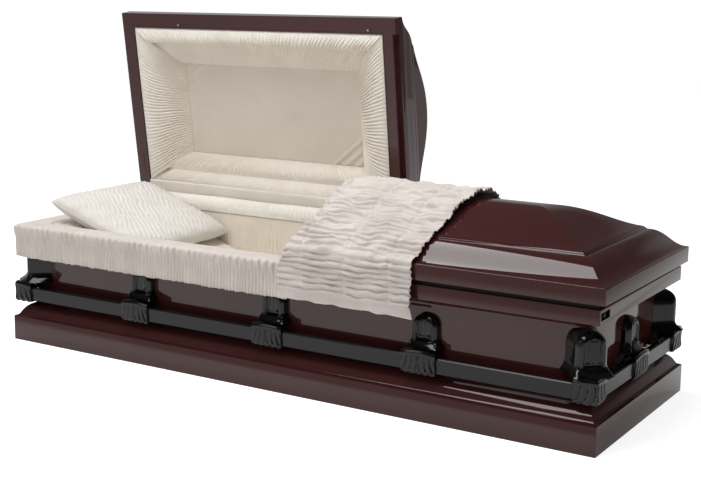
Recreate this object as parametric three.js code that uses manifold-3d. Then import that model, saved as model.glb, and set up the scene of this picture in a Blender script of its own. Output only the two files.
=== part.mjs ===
import * as THREE from 'three';
import { mergeVertices } from 'three/addons/utils/BufferGeometryUtils.js';
import Module from 'manifold-3d';

const wasm = await Module();
wasm.setup();

// Half-couch sheet steel casket. Millimetres, +Z up, head end at -X, hinge side at +Y.
// The origin is the centre of the underside of the bottom pan.

// Sheet and clearances
const STEEL = 1.2;
const GAP = 0.3;

// Body walls and the flange round their top
const WALL_X = 999;
const WALL_Y = 288;
const COVE_FOOT = 324;
const COVE_RISE = 23;
const COVE_LIP = 2;
const FLANGE_OUT = 44;
const FLANGE_HIGH = 42;
const RIM_IN = 20;
const RIM_RETURN = 19;

// Base moulding, by how far it stands out from the walls
const BASE_OUT_X = 56;
const BASE_OUT_Y = 65.5;
const FASCIA = 84;
const LEDGE = 9;
const BASE_LIP = 25;
const BASE_OGEE = 44;

// Gasket between body and lids
const GASKET_IN = 10;
const GASKET_WIDE = 9;
const GASKET_HIGH = 8;

// Lids, given as closed: how far the rims stand out from the walls, and heights above their lower edge
const LID_OUT_HEAD = 53;
const LID_OUT_FOOT = 60;
const LID_OUT_Y = 54;
const LID_CLEAR = 14;
const LID_BAND = 46;
const OGEE_IN = 98;
const OGEE_RISE = 104;
const STEP_WIDE = 10;
const STEP_RISE = 9;
const CROWN_RISE = 74;
const SPLIT = 101;
const SPLIT_GAP = 3;
const REBATE_DEEP = 22;
const REBATE_WIDE = 12;
const OPENED = 82.2;
const HEADER_IN = 51;
const HEADER_LIP = 4;
const LIP_DROP = 1.6;
const LIP_RISE = 15;

// Continuous hinges behind the rear rim
const HINGE_RISE = 18;
const BARREL = 5;
const LEAF = 2;
const LEAF_HIGH = 18;
const HINGE_INSET = 60;

// Handle bar, arms and clasps, by how far they stand out from the walls
const BAR_OUT_X = 44;
const BAR_OUT_Y = 50;
const BAR_LIFT = 13;
const BAR_HIGH = 46;
const BAR_DEEP = 22;
const BAR_EDGE = 3;
const ARM_PITCH = 520;
const ARM_RISE = 97;
const ARM_HALF = 42;
const ARM_DEEP = 27;
const CORNER_RISE = 119;
const CORNER_HALF = 46;
const CORNER_DEEP = 37;
const FOOT_FLARE = 17;
const CLASP_HALF = 54;
const CORNER_LEG = 62;
const CLASP_OVER = 18;
const CLASP_UNDER = 7;
const CLASP_PROUD = 4;
const CLASP_BACK = 4;
const LEAF_RELIEF = 4;

// Lock pocket in the foot end of the flange
const LOCK_WIDE = 66;
const LOCK_MARGIN = 9;
const LOCK_DEEP = 12;
const LOCK_INSET = 6;
const PLUG_R = 7;

// Cloth pieces; the bed rises under the pillow at the pillow's tilt, then lies flat to the head end
const BED_TOP = 220;
const BED_RISE = 180;
const BED_FLAT = 84;
const LINING = 12;
const LINING_OVER = 7;
const SKIRT = 4;
const SKIRT_DROP = 112;
const SKIRT_END = 75;
const SKIRT_CLEAR = 2.5;
const ROLL_WIDE = 58;
const ROLL_HIGH = 50;
const PILLOW_LONG = 205;
const PILLOW_HALF = 248;
const PILLOW_THICK = 40;
const PILLOW_TILT = THREE.MathUtils.degToRad(20);
const PILLOW_CLEAR = 2;
const PANEL_IN = 197;
const PANEL_REAR = 150;
const PANEL_DEEP = 100;
const PANEL_THICK = 6;
const PUFF_SWELL = 26;
const PUFF_BACK = 9;
const THROW_FROM = 50;
const THROW_TO = 500;
const THROW_SPREAD = 35;
const THROW_DROP = 108;
const THROW_REAR = 82;
const THROW_THIN = 7;
const THROW_THICK = 30;
const PEG_R = 4;
const PEG_LONG = 9;
const PEG_IN = 38;
const PEG_HEAD_IN = 267;
const PEG_SPLIT_IN = 99;
const STAY_LONG = 70;
const STAY_WIDE = 14;
const STAY_THICK = 1;
const STAY_INSET = 80;
const SCREW_R = 4;

// Heights and outlines that follow from these
const FLANGE_LOW = COVE_FOOT + COVE_RISE + COVE_LIP;
const RIM = FLANGE_LOW + FLANGE_HIGH;
const BASE_X = WALL_X + BASE_OUT_X;
const BASE_Y = WALL_Y + BASE_OUT_Y;
const BASE_TOP = FASCIA + BASE_OGEE;
const LID_LOW = RIM + LID_CLEAR;
const LID_Y = WALL_Y + LID_OUT_Y;
const OGEE_TOP = LID_LOW + OGEE_RISE;
const STEP_IN = OGEE_IN + STEP_WIDE;
const STEP_TOP = OGEE_TOP + STEP_RISE;
const CROWN = STEP_TOP + CROWN_RISE;
const HINGE_Y = LID_Y + BARREL + GAP;
const HINGE_Z = LID_LOW + HINGE_RISE;
const BAR_X = WALL_X + BAR_OUT_X;
const BAR_Y = WALL_Y + BAR_OUT_Y;
const BAR_LOW = BASE_TOP + BAR_LIFT;
const ARM_FOOT = BAR_LOW + BAR_HIGH + CLASP_OVER + 1 + GAP;
const OPEN_X = WALL_X - RIM_IN;
const OPEN_Y = WALL_Y - RIM_IN;
const LINING_TOP = RIM + LINING_OVER;
const RIM_CLOTH = RIM + GASKET_HIGH + GAP;
const SKIRT_TOP = LID_LOW - SKIRT_CLEAR;
const THROW_LOW = LID_LOW - THROW_DROP;

// The end of each lid away from the split: side is -1 for the head lid and 1 for the foot lid
const lidEnd = (side) => side * (WALL_X + (side < 0 ? LID_OUT_HEAD : LID_OUT_FOOT));

// Finishes
const paint = new THREE.MeshStandardMaterial({ color: 0x4a2b2d, roughness: 0.25, metalness: 0.4 });
const gloss = new THREE.MeshStandardMaterial({ color: 0x0c0d0d, roughness: 0.15, metalness: 0.8 });
const satin = new THREE.MeshStandardMaterial({ color: 0x3a3b3b, roughness: 0.3, metalness: 0.8 });
const crepe = new THREE.MeshStandardMaterial({ color: 0xd8cfc2, roughness: 0.9, metalness: 0 });
const rubber = new THREE.MeshStandardMaterial({ color: 0x141210, roughness: 0.8, metalness: 0 });
const steel = new THREE.MeshStandardMaterial({ color: 0x8a8a88, roughness: 0.35, metalness: 1 });

// Solids from points and triangles

function closedGeometry(points, triangles) {
  const geometry = new THREE.BufferGeometry();
  geometry.setAttribute('position', new THREE.Float32BufferAttribute(points.flat(), 3));
  geometry.setIndex(triangles.flat());
  const merged = mergeVertices(geometry, 1e-3);
  const position = merged.getAttribute('position');
  const index = Array.from(merged.index.array);
  const kept = [];
  for (let i = 0; i < index.length; i += 3) {
    const [a, b, c] = index.slice(i, i + 3);
    if (a !== b && b !== c && c !== a) kept.push([a, b, c]);
  }
  const corner = (i) => new THREE.Vector3().fromBufferAttribute(position, i);
  const volume = kept.reduce((sum, [a, b, c]) => sum + corner(a).dot(corner(b).cross(corner(c))), 0);
  merged.setIndex((volume < 0 ? kept.map(([a, b, c]) => [a, c, b]) : kept).flat());
  return merged;
}

// Rings of equal length, joined side by side; the first and last are capped, or joined up as a loop
function loft(rings, loop = false) {
  const n = rings[0].length;
  const points = rings.flat();
  const triangles = [];
  const spans = loop ? rings.length : rings.length - 1;
  for (let i = 0; i < spans; i += 1) {
    const next = (i + 1) % rings.length;
    for (let j = 0; j < n; j += 1) {
      const k = (j + 1) % n;
      triangles.push([i * n + j, i * n + k, next * n + k], [i * n + j, next * n + k, next * n + j]);
    }
  }
  if (!loop) {
    const cap = capOf(rings[0]);
    const last = (rings.length - 1) * n;
    cap.forEach(([a, b, c]) => triangles.push([a, c, b]));
    cap.forEach(([a, b, c]) => triangles.push([last + a, last + b, last + c]));
  }
  return closedGeometry(points, triangles);
}

// Triangles across a flat ring, found in the plane that the ring lies in
function capOf(ring) {
  const corners = ring.map((p) => new THREE.Vector3(...p));
  const normal = new THREE.Vector3();
  corners.forEach((p, i) => normal.add(p.clone().cross(corners[(i + 1) % corners.length])));
  const turn = new THREE.Quaternion().setFromUnitVectors(normal.normalize(), new THREE.Vector3(0, 0, 1));
  const flat = corners.map((p) => p.clone().applyQuaternion(turn)).map((p) => new THREE.Vector2(p.x, p.y));
  return THREE.ShapeUtils.triangulateShape(flat, []);
}

// The four corners of a level rectangle
const rectangle = (x0, x1, y0, y1, z) => [[x0, y0, z], [x1, y0, z], [x1, y1, z], [x0, y1, z]];
const centred = (hx, hy, z) => rectangle(-hx, hx, -hy, hy, z);

function block(x0, x1, y0, y1, z0, z1) {
  return loft([rectangle(x0, x1, y0, y1, z0), rectangle(x0, x1, y0, y1, z1)]);
}

// A closed outline in Y and Z, carried along X
function alongX(outline, x0, x1) {
  return loft([x0, x1].map((x) => outline.map(([y, z]) => [x, y, z])));
}

function toManifold(geometry) {
  return new wasm.Manifold(new wasm.Mesh({
    numProp: 3,
    vertProperties: new Float32Array(geometry.getAttribute('position').array),
    triVerts: new Uint32Array(geometry.index.array),
  }));
}

function fromManifold(manifold) {
  const mesh = manifold.getMesh();
  const geometry = new THREE.BufferGeometry();
  geometry.setAttribute('position', new THREE.BufferAttribute(mesh.vertProperties.slice(), 3));
  geometry.setIndex(new THREE.BufferAttribute(mesh.triVerts.slice(), 1));
  return geometry;
}

const cut = (body, ...tools) => fromManifold(
  tools.reduce((left, tool) => left.subtract(toManifold(tool)), toManifold(body)));
const join = (first, ...rest) => fromManifold(
  rest.reduce((whole, piece) => whole.add(toManifold(piece)), toManifold(first)));

// Profiles, as lists of [across, up]

// A path and the same path set over to its left by one thickness, as one closed strip
function strip(path, thickness) {
  const normals = path.slice(1).map(([x, y], i) => {
    const length = Math.hypot(x - path[i][0], y - path[i][1]);
    return [-(y - path[i][1]) / length, (x - path[i][0]) / length];
  });
  const inner = path.map(([x, y], i) => {
    const a = normals[Math.max(i - 1, 0)];
    const b = normals[Math.min(i, normals.length - 1)];
    const reach = thickness / (1 + a[0] * b[0] + a[1] * b[1]);
    return [x + (a[0] + b[0]) * reach, y + (a[1] + b[1]) * reach];
  });
  return [...path, ...inner.reverse()];
}

function bezier(a, b, c, d, steps) {
  const curve = new THREE.CubicBezierCurve(...[a, b, c, d].map((p) => new THREE.Vector2(...p)));
  return curve.getPoints(steps).map((p) => [p.x, p.y]);
}

// Lid: upright band, ogee, small double step, then a low crown; across is the inset from the band
const lidPath = [
  [0, LID_LOW],
  [0, LID_LOW + LID_BAND - 1.5],
  ...bezier([1.5, LID_LOW + LID_BAND], [0.42 * OGEE_IN, LID_LOW + LID_BAND + 4],
    [0.52 * OGEE_IN, OGEE_TOP - 4], [OGEE_IN - 1, OGEE_TOP], 9),
  [OGEE_IN + 1, OGEE_TOP + 3],
  [OGEE_IN + 4, OGEE_TOP + 4],
  [OGEE_IN + 6, OGEE_TOP + 7.5],
  ...bezier([STEP_IN, STEP_TOP], [STEP_IN + 72, STEP_TOP + 0.24 * CROWN_RISE], [STEP_IN + 127, CROWN],
    [LID_Y - 1, CROWN], 10),
];

// The lid's path set in by a distance along its own normals
function lidPathInside(distance) {
  const both = strip(lidPath, -distance);
  return both.slice(lidPath.length).reverse();
}

// Base: return lip, fascia, ledge and ogee; across is the inset from the fascia
const BASE_RUN = BASE_Y - WALL_Y - STEEL;
const basePath = [
  [BASE_LIP, 0],
  [0, 0],
  [0, FASCIA - 1.5],
  [1.5, FASCIA],
  [LEDGE, FASCIA + 1.5],
  ...bezier([LEDGE + 3, FASCIA + 3], [LEDGE + 12, FASCIA + 8], [LEDGE + 14, BASE_TOP - 10],
    [BASE_RUN, BASE_TOP], 7),
];

// The base runs up to the walls on all four sides, so its inset is stretched along X to suit
function baseRing([inset, z]) {
  const share = inset / BASE_RUN;
  return centred(BASE_X - share * (BASE_X - WALL_X - STEEL), BASE_Y - share * BASE_RUN, z);
}

// Body: wall, cove, flange, rim and the return down inside; across is the distance out from the wall
const coveSteps = [0, 1, 2, 3, 4, 5].map((i) => (i * Math.PI) / 10);
const bodyPath = [
  [0, STEEL + GAP],
  ...coveSteps.map((a) => [(FLANGE_OUT - 4) * (1 - Math.cos(a)), COVE_FOOT + COVE_RISE * Math.sin(a)]),
  [FLANGE_OUT, FLANGE_LOW],
  [FLANGE_OUT, RIM - 1.5],
  [FLANGE_OUT - 1.5, RIM],
  [-RIM_IN, RIM],
  [-RIM_IN, RIM - RIM_RETURN],
];

// Shell pieces

const baseMoulding = () => loft(strip(basePath, -STEEL).map(baseRing), true);

function bottomPan() {
  const [, far] = baseRing([BASE_LIP, 0]);
  const hx = far[0] - GAP;
  const hy = -far[1] - GAP;
  return block(-hx, hx, -hy, hy, 0, STEEL);
}

// The flange's foot end is pierced where the lock pocket sits
function lockSpot(grow) {
  const y0 = -(WALL_Y + FLANGE_OUT) + LOCK_INSET;
  const z0 = FLANGE_LOW + LOCK_MARGIN;
  const z1 = RIM - LOCK_MARGIN;
  const x1 = WALL_X + FLANGE_OUT;
  return { y0: y0 - grow, y1: y0 + LOCK_WIDE + grow, z0: z0 - grow, z1: z1 + grow, x1 };
}

function bodyShell() {
  const shell = loft(strip(bodyPath, STEEL).map(([out, z]) => centred(WALL_X + out, WALL_Y + out, z)), true);
  const { y0, y1, z0, z1, x1 } = lockSpot(GAP);
  return cut(shell, block(x1 - 5 * STEEL, x1 + STEEL, y0, y1, z0, z1));
}

function lockPocket() {
  const { y0, y1, z0, z1, x1 } = lockSpot(0);
  const hollow = block(x1 - LOCK_DEEP + STEEL, x1 + 1, y0 + STEEL, y1 - STEEL, z0 + STEEL, z1 - STEEL);
  return cut(block(x1 - LOCK_DEEP, x1, y0, y1, z0, z1), hollow);
}

function lockPlug() {
  const { y1, z0, z1, x1 } = lockSpot(0);
  const plug = new THREE.CylinderGeometry(PLUG_R, PLUG_R, LOCK_DEEP - STEEL - GAP - 2, 12);
  plug.rotateZ(Math.PI / 2);
  plug.translate(x1 - (LOCK_DEEP - STEEL - GAP + 2) / 2, y1 - LOCK_WIDE / 2, (z0 + z1) / 2);
  return plug;
}

function gasket() {
  const [out, inner] = [FLANGE_OUT - GASKET_IN, FLANGE_OUT - GASKET_IN - GASKET_WIDE];
  const [low, high] = [RIM + GAP, RIM + GASKET_HIGH];
  const section = [[inner, low], [out, low], [out - 2, high], [inner + 2, high]];
  return loft(section.map(([e, z]) => centred(WALL_X + e, WALL_Y + e, z)), true);
}

// One lid as a stack of rectangles: hipped at its own end of the casket, square at the split.
// Inset moves the face at the split inwards.
function lidBlock(side, split, path, low, inset) {
  const rings = [[path[0][0], low], ...path.slice(1)].map(([t, z]) => {
    const end = lidEnd(side) - side * t;
    const cutEnd = split + side * inset;
    return rectangle(Math.min(end, cutEnd), Math.max(end, cutEnd), t - LID_Y, LID_Y - t, z);
  });
  return loft(rings);
}

function lidShell(side, split) {
  const skin = lidBlock(side, split, lidPath, LID_LOW, 0);
  const room = lidBlock(side, split, lidPathInside(STEEL), LID_LOW - 5, STEEL);
  return { skin, room };
}

// The strip along the head lid's meeting edge that is rebated, behind the front rail
function rebate(grow) {
  const y = LID_Y - HEADER_IN + grow;
  return block(SPLIT - REBATE_WIDE - grow, SPLIT + 1, -y, y, LID_LOW - 6, LID_LOW + REBATE_DEEP + grow);
}

function headLid() {
  const { skin, room } = lidShell(-1, SPLIT);
  return cut(cut(skin, rebate(0)), cut(room, rebate(STEEL)));
}

function footLid() {
  const { skin, room } = lidShell(1, SPLIT + SPLIT_GAP);
  return cut(skin, room);
}

// Flat frame under a lid, with a small lip round its opening
function lidHeader(side, split) {
  const foot = STEEL + GAP;
  const section = [
    [foot, LID_LOW], [HEADER_IN - HEADER_LIP, LID_LOW], [HEADER_IN - HEADER_LIP, LID_LOW - LIP_DROP],
    [HEADER_IN, LID_LOW - LIP_DROP], [HEADER_IN, LID_LOW + LIP_RISE],
    [HEADER_IN - STEEL, LID_LOW + LIP_RISE], [HEADER_IN - STEEL, LID_LOW + STEEL], [foot, LID_LOW + STEEL],
  ];
  const rings = section.map(([t, z]) => {
    const ends = [lidEnd(side) - side * t, split + side * t];
    return rectangle(Math.min(...ends), Math.max(...ends), t - LID_Y, LID_Y - t, z);
  });
  return loft(rings, true);
}

const headLidHeader = () => cut(lidHeader(-1, SPLIT), rebate(STEEL + GAP));

// Hinges

function hingeBarrel(x0, x1) {
  const barrel = new THREE.CylinderGeometry(BARREL, BARREL, x1 - x0, 12);
  barrel.rotateZ(Math.PI / 2);
  barrel.translate((x0 + x1) / 2, HINGE_Y, HINGE_Z);
  barrel.deleteAttribute('normal');
  barrel.deleteAttribute('uv');
  const foot = (FLANGE_LOW + RIM) / 2;
  const leaf = block(x0, x1, HINGE_Y - LEAF, HINGE_Y, foot, HINGE_Z);
  const seat = block(x0, x1, WALL_Y + FLANGE_OUT + GAP, HINGE_Y, foot - LEAF, foot + LEAF);
  return join(mergeVertices(barrel), leaf, seat);
}

function hingeLeaf(x0, x1) {
  const low = HINGE_Z + BARREL + 2 * GAP;
  return block(x0, x1, LID_Y + GAP, LID_Y + GAP + LEAF, low, low + LEAF_HIGH);
}

// Handle bar: four lengths of bevelled flat bar with mitred ends
const barSection = [
  [BAR_EDGE, 0], [BAR_DEEP - BAR_EDGE, 0], [BAR_DEEP, BAR_EDGE], [BAR_DEEP, BAR_HIGH - BAR_EDGE],
  [BAR_DEEP - BAR_EDGE, BAR_HIGH], [BAR_EDGE, BAR_HIGH], [0, BAR_HIGH - BAR_EDGE], [0, BAR_EDGE],
].map(([inset, up]) => [inset, BAR_LOW + up]);

const sideBar = (side) => loft([-1, 1].map((end) => barSection.map(
  ([t, z]) => [end * (BAR_X - t - GAP), side * (BAR_Y - t), z])));
const endBar = (end) => loft([-1, 1].map((side) => barSection.map(
  ([t, z]) => [end * (BAR_X - t), side * (BAR_Y - t - GAP), z])));

// The bar's whole loop with a clearance all round, to bore the clasps
function barLoop(grow) {
  const section = [[-grow, -grow], [BAR_DEEP + grow, -grow], [BAR_DEEP + grow, BAR_HIGH + grow],
    [-grow, BAR_HIGH + grow]];
  return loft(section.map(([t, up]) => centred(BAR_X - t, BAR_Y - t, BAR_LOW + up)), true);
}

// Places on the walls that carry a casting: origin on the wall, outward and along directions
const OUT = { front: [0, -1], rear: [0, 1], head: [-1, 0], foot: [1, 0] };

function place(origin, out) {
  const [nx, ny] = out;
  return ([u, n, z]) => [origin[0] + nx * n - ny * u, origin[1] + ny * n + nx * u, z];
}

// Bell-shaped arm: level slices whose width follows the arch and the flared foot, and whose
// front face is a rounded lobe with a sunk arched panel
function armSlice(shape, z, up) {
  const { top, foot, half, deep, reach, back } = shape;
  const arch = Math.min(1, (top - z) / half);
  const flare = FOOT_FLARE * Math.max(0, 1 - (z - foot) / 34) ** 2;
  const width = half * Math.sqrt(Math.max(0.02, 1 - (1 - arch) ** 2)) + flare;
  const hood = Math.sqrt(Math.max(0.03, 1 - (1 - Math.min(1, (top - z) / 30)) ** 2));
  const sweep = (reach - deep) * Math.max(0, 1 - (z - foot) / 26) ** 2;
  const front = deep * hood + sweep;
  const sunk = z > foot + 24 && z < top - 18 ? 6 : 0;
  const across = [-1, -0.93, -0.8, -0.62, -0.56, 0, 0.56, 0.62, 0.8, 0.93, 1];
  const face = across.map((a) => {
    const round = (1 - Math.abs(a) ** 3.2) ** (1 / 3.2);
    return [a * width, front * round - (Math.abs(a) < 0.6 ? sunk : 0) + GAP, up];
  });
  return [[-width, back, up], ...face, [width, back, up]];
}

function armCasting(shape, at) {
  const { top, foot } = shape;
  const levels = [0, 6, 14, 22, 26, 34, top - foot - 30, top - foot - 20, top - foot - 16, top - foot - 8,
    top - foot - 1].map((rise) => foot + rise);
  return loft(levels.map((z) => armSlice(shape, z, z).map(at)));
}

// Clasp round the bar, with a spread of overlapping leaves on its face
function leafRelief(share, rise) {
  const fan = Math.abs(Math.sin((share * 2.5 + (rise - 0.5) * Math.sign(share) * 0.9) * Math.PI));
  return LEAF_RELIEF * (0.35 + 0.65 * fan) * Math.sin(Math.PI * (0.12 + 0.76 * rise));
}

function claspRing(share, outer) {
  const low = BAR_LOW - CLASP_UNDER;
  const high = BAR_LOW + BAR_HIGH + CLASP_OVER - 6 * share * share;
  const rises = [0, 0.2, 0.4, 0.6, 0.8, 1];
  const face = rises.map((r) => [outer + CLASP_PROUD + leafRelief(share, r), low + r * (high - low)]);
  const back = outer - BAR_DEEP - CLASP_BACK;
  const middle = outer - BAR_DEEP / 2;
  return [[back, low + 3], [middle, low], ...face, [middle, high + 1], [back, high - 6]];
}

const claspShares = [-1, -0.8, -0.6, -0.4, -0.2, 0, 0.2, 0.4, 0.6, 0.8, 1];

function clasp(at, outer) {
  const rings = claspShares.map((s) => claspRing(s, outer).map(([n, z]) => at([s * CLASP_HALF, n, z])));
  return cut(loft(rings), barLoop(GAP));
}

// Round a corner of the bar the clasp has two legs that meet on the mitre
function cornerClasp(ex, ey) {
  const rings = claspShares.map((s) => claspRing(s, 0).map(([n, z]) => {
    const x = BAR_X + n - (s < 0 ? -s * (CORNER_LEG + n) : 0);
    const y = BAR_Y + n - (s > 0 ? s * (CORNER_LEG + n) : 0);
    return [ex * x, ey * y, z];
  }));
  return cut(loft(rings), barLoop(GAP));
}

function arm(at, reach) {
  const top = ARM_FOOT + ARM_RISE;
  return armCasting({ top, foot: ARM_FOOT, half: ARM_HALF, deep: ARM_DEEP, reach, back: GAP }, at);
}

// A corner arm faces along the diagonal and is scribed over the square corner of the body
function cornerArm(ex, ey) {
  const out = [ex * Math.SQRT1_2, ey * Math.SQRT1_2];
  const at = place([ex * WALL_X, ey * WALL_Y], out);
  const reach = (BAR_X - WALL_X + BAR_Y - WALL_Y) * Math.SQRT1_2 - 4;
  const top = ARM_FOOT + CORNER_RISE;
  const shape = { top, foot: ARM_FOOT, half: CORNER_HALF, deep: CORNER_DEEP, reach, back: -70 };
  const walls = block(-WALL_X - GAP, WALL_X + GAP, -WALL_Y - GAP, WALL_Y + GAP, 0, RIM);
  return cut(armCasting(shape, at), walls);
}

// Cloth pieces, as plain solids

function bedSlope() {
  const head = -OPEN_X + LINING + 3 + BED_FLAT;
  return { head, foot: head + BED_RISE / Math.tan(PILLOW_TILT) };
}

function bed() {
  const hy = OPEN_Y - LINING - 3;
  const x1 = OPEN_X - LINING - 3;
  const slope = bedSlope();
  const high = BED_TOP + BED_RISE;
  const top = [[x1, BED_TOP], [slope.foot, BED_TOP], [slope.head, high], [-x1, high]];
  const outline = [[-x1, STEEL + GAP], [x1, STEEL + GAP], ...top];
  return loft([-hy, hy].map((y) => outline.map(([x, z]) => [x, y, z])));
}

function sideLining(side) {
  const [a, b] = [side * (OPEN_Y - 0.5), side * (OPEN_Y - 0.5 - LINING)].sort((p, q) => p - q);
  const hx = OPEN_X - 0.5 - LINING - GAP;
  return block(-hx, hx, a, b, STEEL + GAP, LINING_TOP);
}

function endLining(end) {
  const [a, b] = [end * (OPEN_X - 0.5), end * (OPEN_X - 0.5 - LINING)].sort((p, q) => p - q);
  return block(a, b, 0.5 - OPEN_Y, OPEN_Y - 0.5, STEEL + GAP, LINING_TOP);
}

const PEG_HEAD_X = lidEnd(-1) + PEG_HEAD_IN;
const PEG_FOOT_X = SPLIT - PEG_SPLIT_IN;

// Cloth laid over the front rim and the head end, hanging down outside
function rimSkirt() {
  const inner = FLANGE_OUT + SKIRT_CLEAR;
  const outer = inner + SKIRT;
  const rear = OPEN_Y - LINING - 2;
  const whole = block(-WALL_X - outer, SKIRT_END, -WALL_Y - outer, rear, SKIRT_TOP - SKIRT_DROP, SKIRT_TOP);
  const under = block(-WALL_X - inner, SKIRT_END + 1, -WALL_Y - inner, rear + 1, SKIRT_TOP - SKIRT_DROP - 1,
    RIM_CLOTH);
  const mouth = block(-OPEN_X + LINING, SKIRT_END + 1, -OPEN_Y + LINING, rear + 1, RIM, SKIRT_TOP + 1);
  const pegY = PEG_IN - LID_Y;
  const slit = (x) => block(x - 3 * PEG_R, x + 3 * PEG_R, pegY - 3 * PEG_R, pegY + 3 * PEG_R,
    RIM, SKIRT_TOP + 1);
  return cut(whole, under, mouth, slit(PEG_HEAD_X), slit(PEG_FOOT_X));
}

// Padded roll over the rear rim, in front of the open lid
function rearRoll() {
  const y0 = OPEN_Y - LINING;
  const share = [[0, 0], [-0.02, 0.45], [0.1, 0.82], [0.33, 0.99], [0.62, 1], [0.86, 0.88], [0.98, 0.62],
    [1.02, 0.3], [1, 0]];
  const section = share.map(([a, b]) => [y0 + a * ROLL_WIDE, RIM_CLOTH + b * ROLL_HIGH]);
  return alongX(section, -OPEN_X + LINING, SPLIT - 5);
}

// Crowned cushion whose sides thin out to a seam
function pillow() {
  const shares = [-1, -0.93, -0.75, -0.4, 0, 0.4, 0.75, 0.93, 1];
  const swell = (u, v) => ((1 - u ** 8) * (1 - v ** 8)) ** 0.5;
  const sheet = (sign) => shares.map((u) => shares.map((v) => [
    u * PILLOW_LONG, v * PILLOW_HALF, sign * PILLOW_THICK * swell(u, v)]));
  const n = shares.length;
  const triangles = [];
  [0, 1].forEach((layer) => {
    for (let i = 0; i < n - 1; i += 1) {
      for (let j = 0; j < n - 1; j += 1) {
        const [a, b] = [layer * n * n + i * n + j, layer * n * n + (i + 1) * n + j];
        const quad = [[a, b, b + 1], [a, b + 1, a + 1]];
        quad.forEach(([p, q, r]) => triangles.push(layer ? [p, r, q] : [p, q, r]));
      }
    }
  });
  return closedGeometry([...sheet(1).flat(), ...sheet(-1).flat()], triangles);
}

// Lining of the head lid, given as closed: a flat panel and four puffed borders from it to the lip.
// The borders' section is in inset and height; each end is cut on the mitre.
// The rear border is narrower than the others.
const MITRE = { x0: lidEnd(-1), x1: SPLIT - REBATE_WIDE, y: LID_Y };

const rearInset = (t) => HEADER_IN + (t - HEADER_IN) * (PANEL_REAR - HEADER_IN) / (PANEL_IN - HEADER_IN);

function capPanel() {
  const { x0, x1, y } = MITRE;
  const t = PANEL_IN + 1;
  const low = LID_LOW + PANEL_DEEP;
  return block(x0 + t, x1 - t, t - y, y - rearInset(t), low, low + PANEL_THICK);
}

function puffSection() {
  const [t0, z0] = [HEADER_IN + 2, LID_LOW + 3];
  const [dt, dz] = [PANEL_IN - t0, PANEL_DEEP - 3];
  const length = Math.hypot(dt, dz);
  const shares = [0, 0.12, 0.27, 0.45, 0.63, 0.8, 0.92, 1];
  const swell = (s) => PUFF_SWELL * Math.sin(Math.PI * s ** 0.75);
  const lean = [dz / length, dt / length];
  const shown = shares.map((s) => [t0 + s * dt + swell(s) * lean[0], z0 + s * dz - swell(s) * lean[1]]);
  const hidden = [0, 0.5, 1].map((s) => [t0 + s * dt, z0 + s * dz + PUFF_BACK]);
  return [...shown, ...hidden.reverse()];
}

function puff(edge) {
  const { x0, x1, y } = MITRE;
  const corners = (t) => ({
    front: [[x0 + t, t - y], [x1 - t, t - y]],
    foot: [[x1 - t, t - y], [x1 - t, y - rearInset(t)]],
    rear: [[x1 - t, y - rearInset(t)], [x0 + t, y - rearInset(t)]],
    head: [[x0 + t, y - rearInset(t)], [x0 + t, t - y]],
  }[edge]);
  const ring = (from, to) => puffSection().map(([t, z]) => {
    const ends = corners(t).map(([px, py]) => new THREE.Vector3(px, py, z));
    const along = ends[to].clone().sub(ends[from]).setLength(GAP);
    return ends[from].add(along).toArray();
  });
  return loft([ring(0, 1), ring(1, 0)]);
}

function peg(x) {
  const pin = new THREE.CylinderGeometry(PEG_R, PEG_R, PEG_LONG, 10);
  pin.rotateX(Math.PI / 2);
  pin.translate(x, PEG_IN - LID_Y, LID_LOW - PEG_LONG / 2 - GAP);
  return pin;
}

// Small plate of the lid stay on the head-end rail, with three screw heads
function stayPlate() {
  const x = lidEnd(-1) + HEADER_IN / 2;
  const y1 = LID_Y - STAY_INSET;
  const plate = block(x - STAY_WIDE / 2, x + STAY_WIDE / 2, y1 - STAY_LONG, y1, LID_LOW - STAY_THICK - GAP,
    LID_LOW - GAP);
  const heads = [0.12, 0.5, 0.88].map((share) => {
    const head = new THREE.CylinderGeometry(SCREW_R, SCREW_R, STAY_THICK, 8);
    head.rotateX(Math.PI / 2);
    head.translate(x, y1 - share * STAY_LONG, LID_LOW - GAP - 1.3 * STAY_THICK);
    head.deleteAttribute('normal');
    head.deleteAttribute('uv');
    return mergeVertices(head);
  });
  return join(plate, ...heads);
}

// Cloth laid over the foot lid, thicker where its gathers pile up on the crown, wider on the crown
// than at its hem, and clear of the open head lid at its rear corner
function lidThrow() {
  const over = (lift) => lidPath.slice(1).map(([t, z]) => {
    const rise = Math.min(1, t / (0.6 * LID_Y));
    const thick = lift ? THROW_THIN + (THROW_THICK - THROW_THIN) * rise * rise : 0;
    const out = (1 - rise) * (lift ? THROW_THIN : 0);
    return [LID_Y - t + 0.6 + out, z + 0.8 + thick];
  });
  const side = (lift) => [[LID_Y + 0.6 + (lift ? THROW_THIN : 0), THROW_LOW], ...over(lift)];
  const mirror = (path) => path.map(([y, z]) => [-y, z]).reverse();
  // the rear edge stops above the hinge leaf
  const arch = (lift) => [...side(lift).slice(2), ...mirror(side(lift))];
  const outline = [...arch(true), ...arch(false).reverse()];
  const spread = (y) => THROW_SPREAD * (1 - (y / LID_Y) ** 2);
  const cloth = loft([
    outline.map(([y, z]) => [THROW_FROM, y, z]),
    outline.map(([y, z]) => [THROW_TO + Math.max(0, spread(y)), y, z]),
  ]);
  const rear = [HINGE_Y - THROW_REAR, LID_Y + THROW_THICK];
  const openLid = block(THROW_FROM - 1, SPLIT + SPLIT_GAP, ...rear, LID_LOW, CROWN);
  return cut(cloth, openLid);
}

// Assembly

const casket = new THREE.Group();
const headLidGroup = new THREE.Group();

function add(name, geometry, material, group = casket) {
  const mesh = new THREE.Mesh(geometry, material);
  mesh.name = name;
  group.add(mesh);
  return mesh;
}

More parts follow.
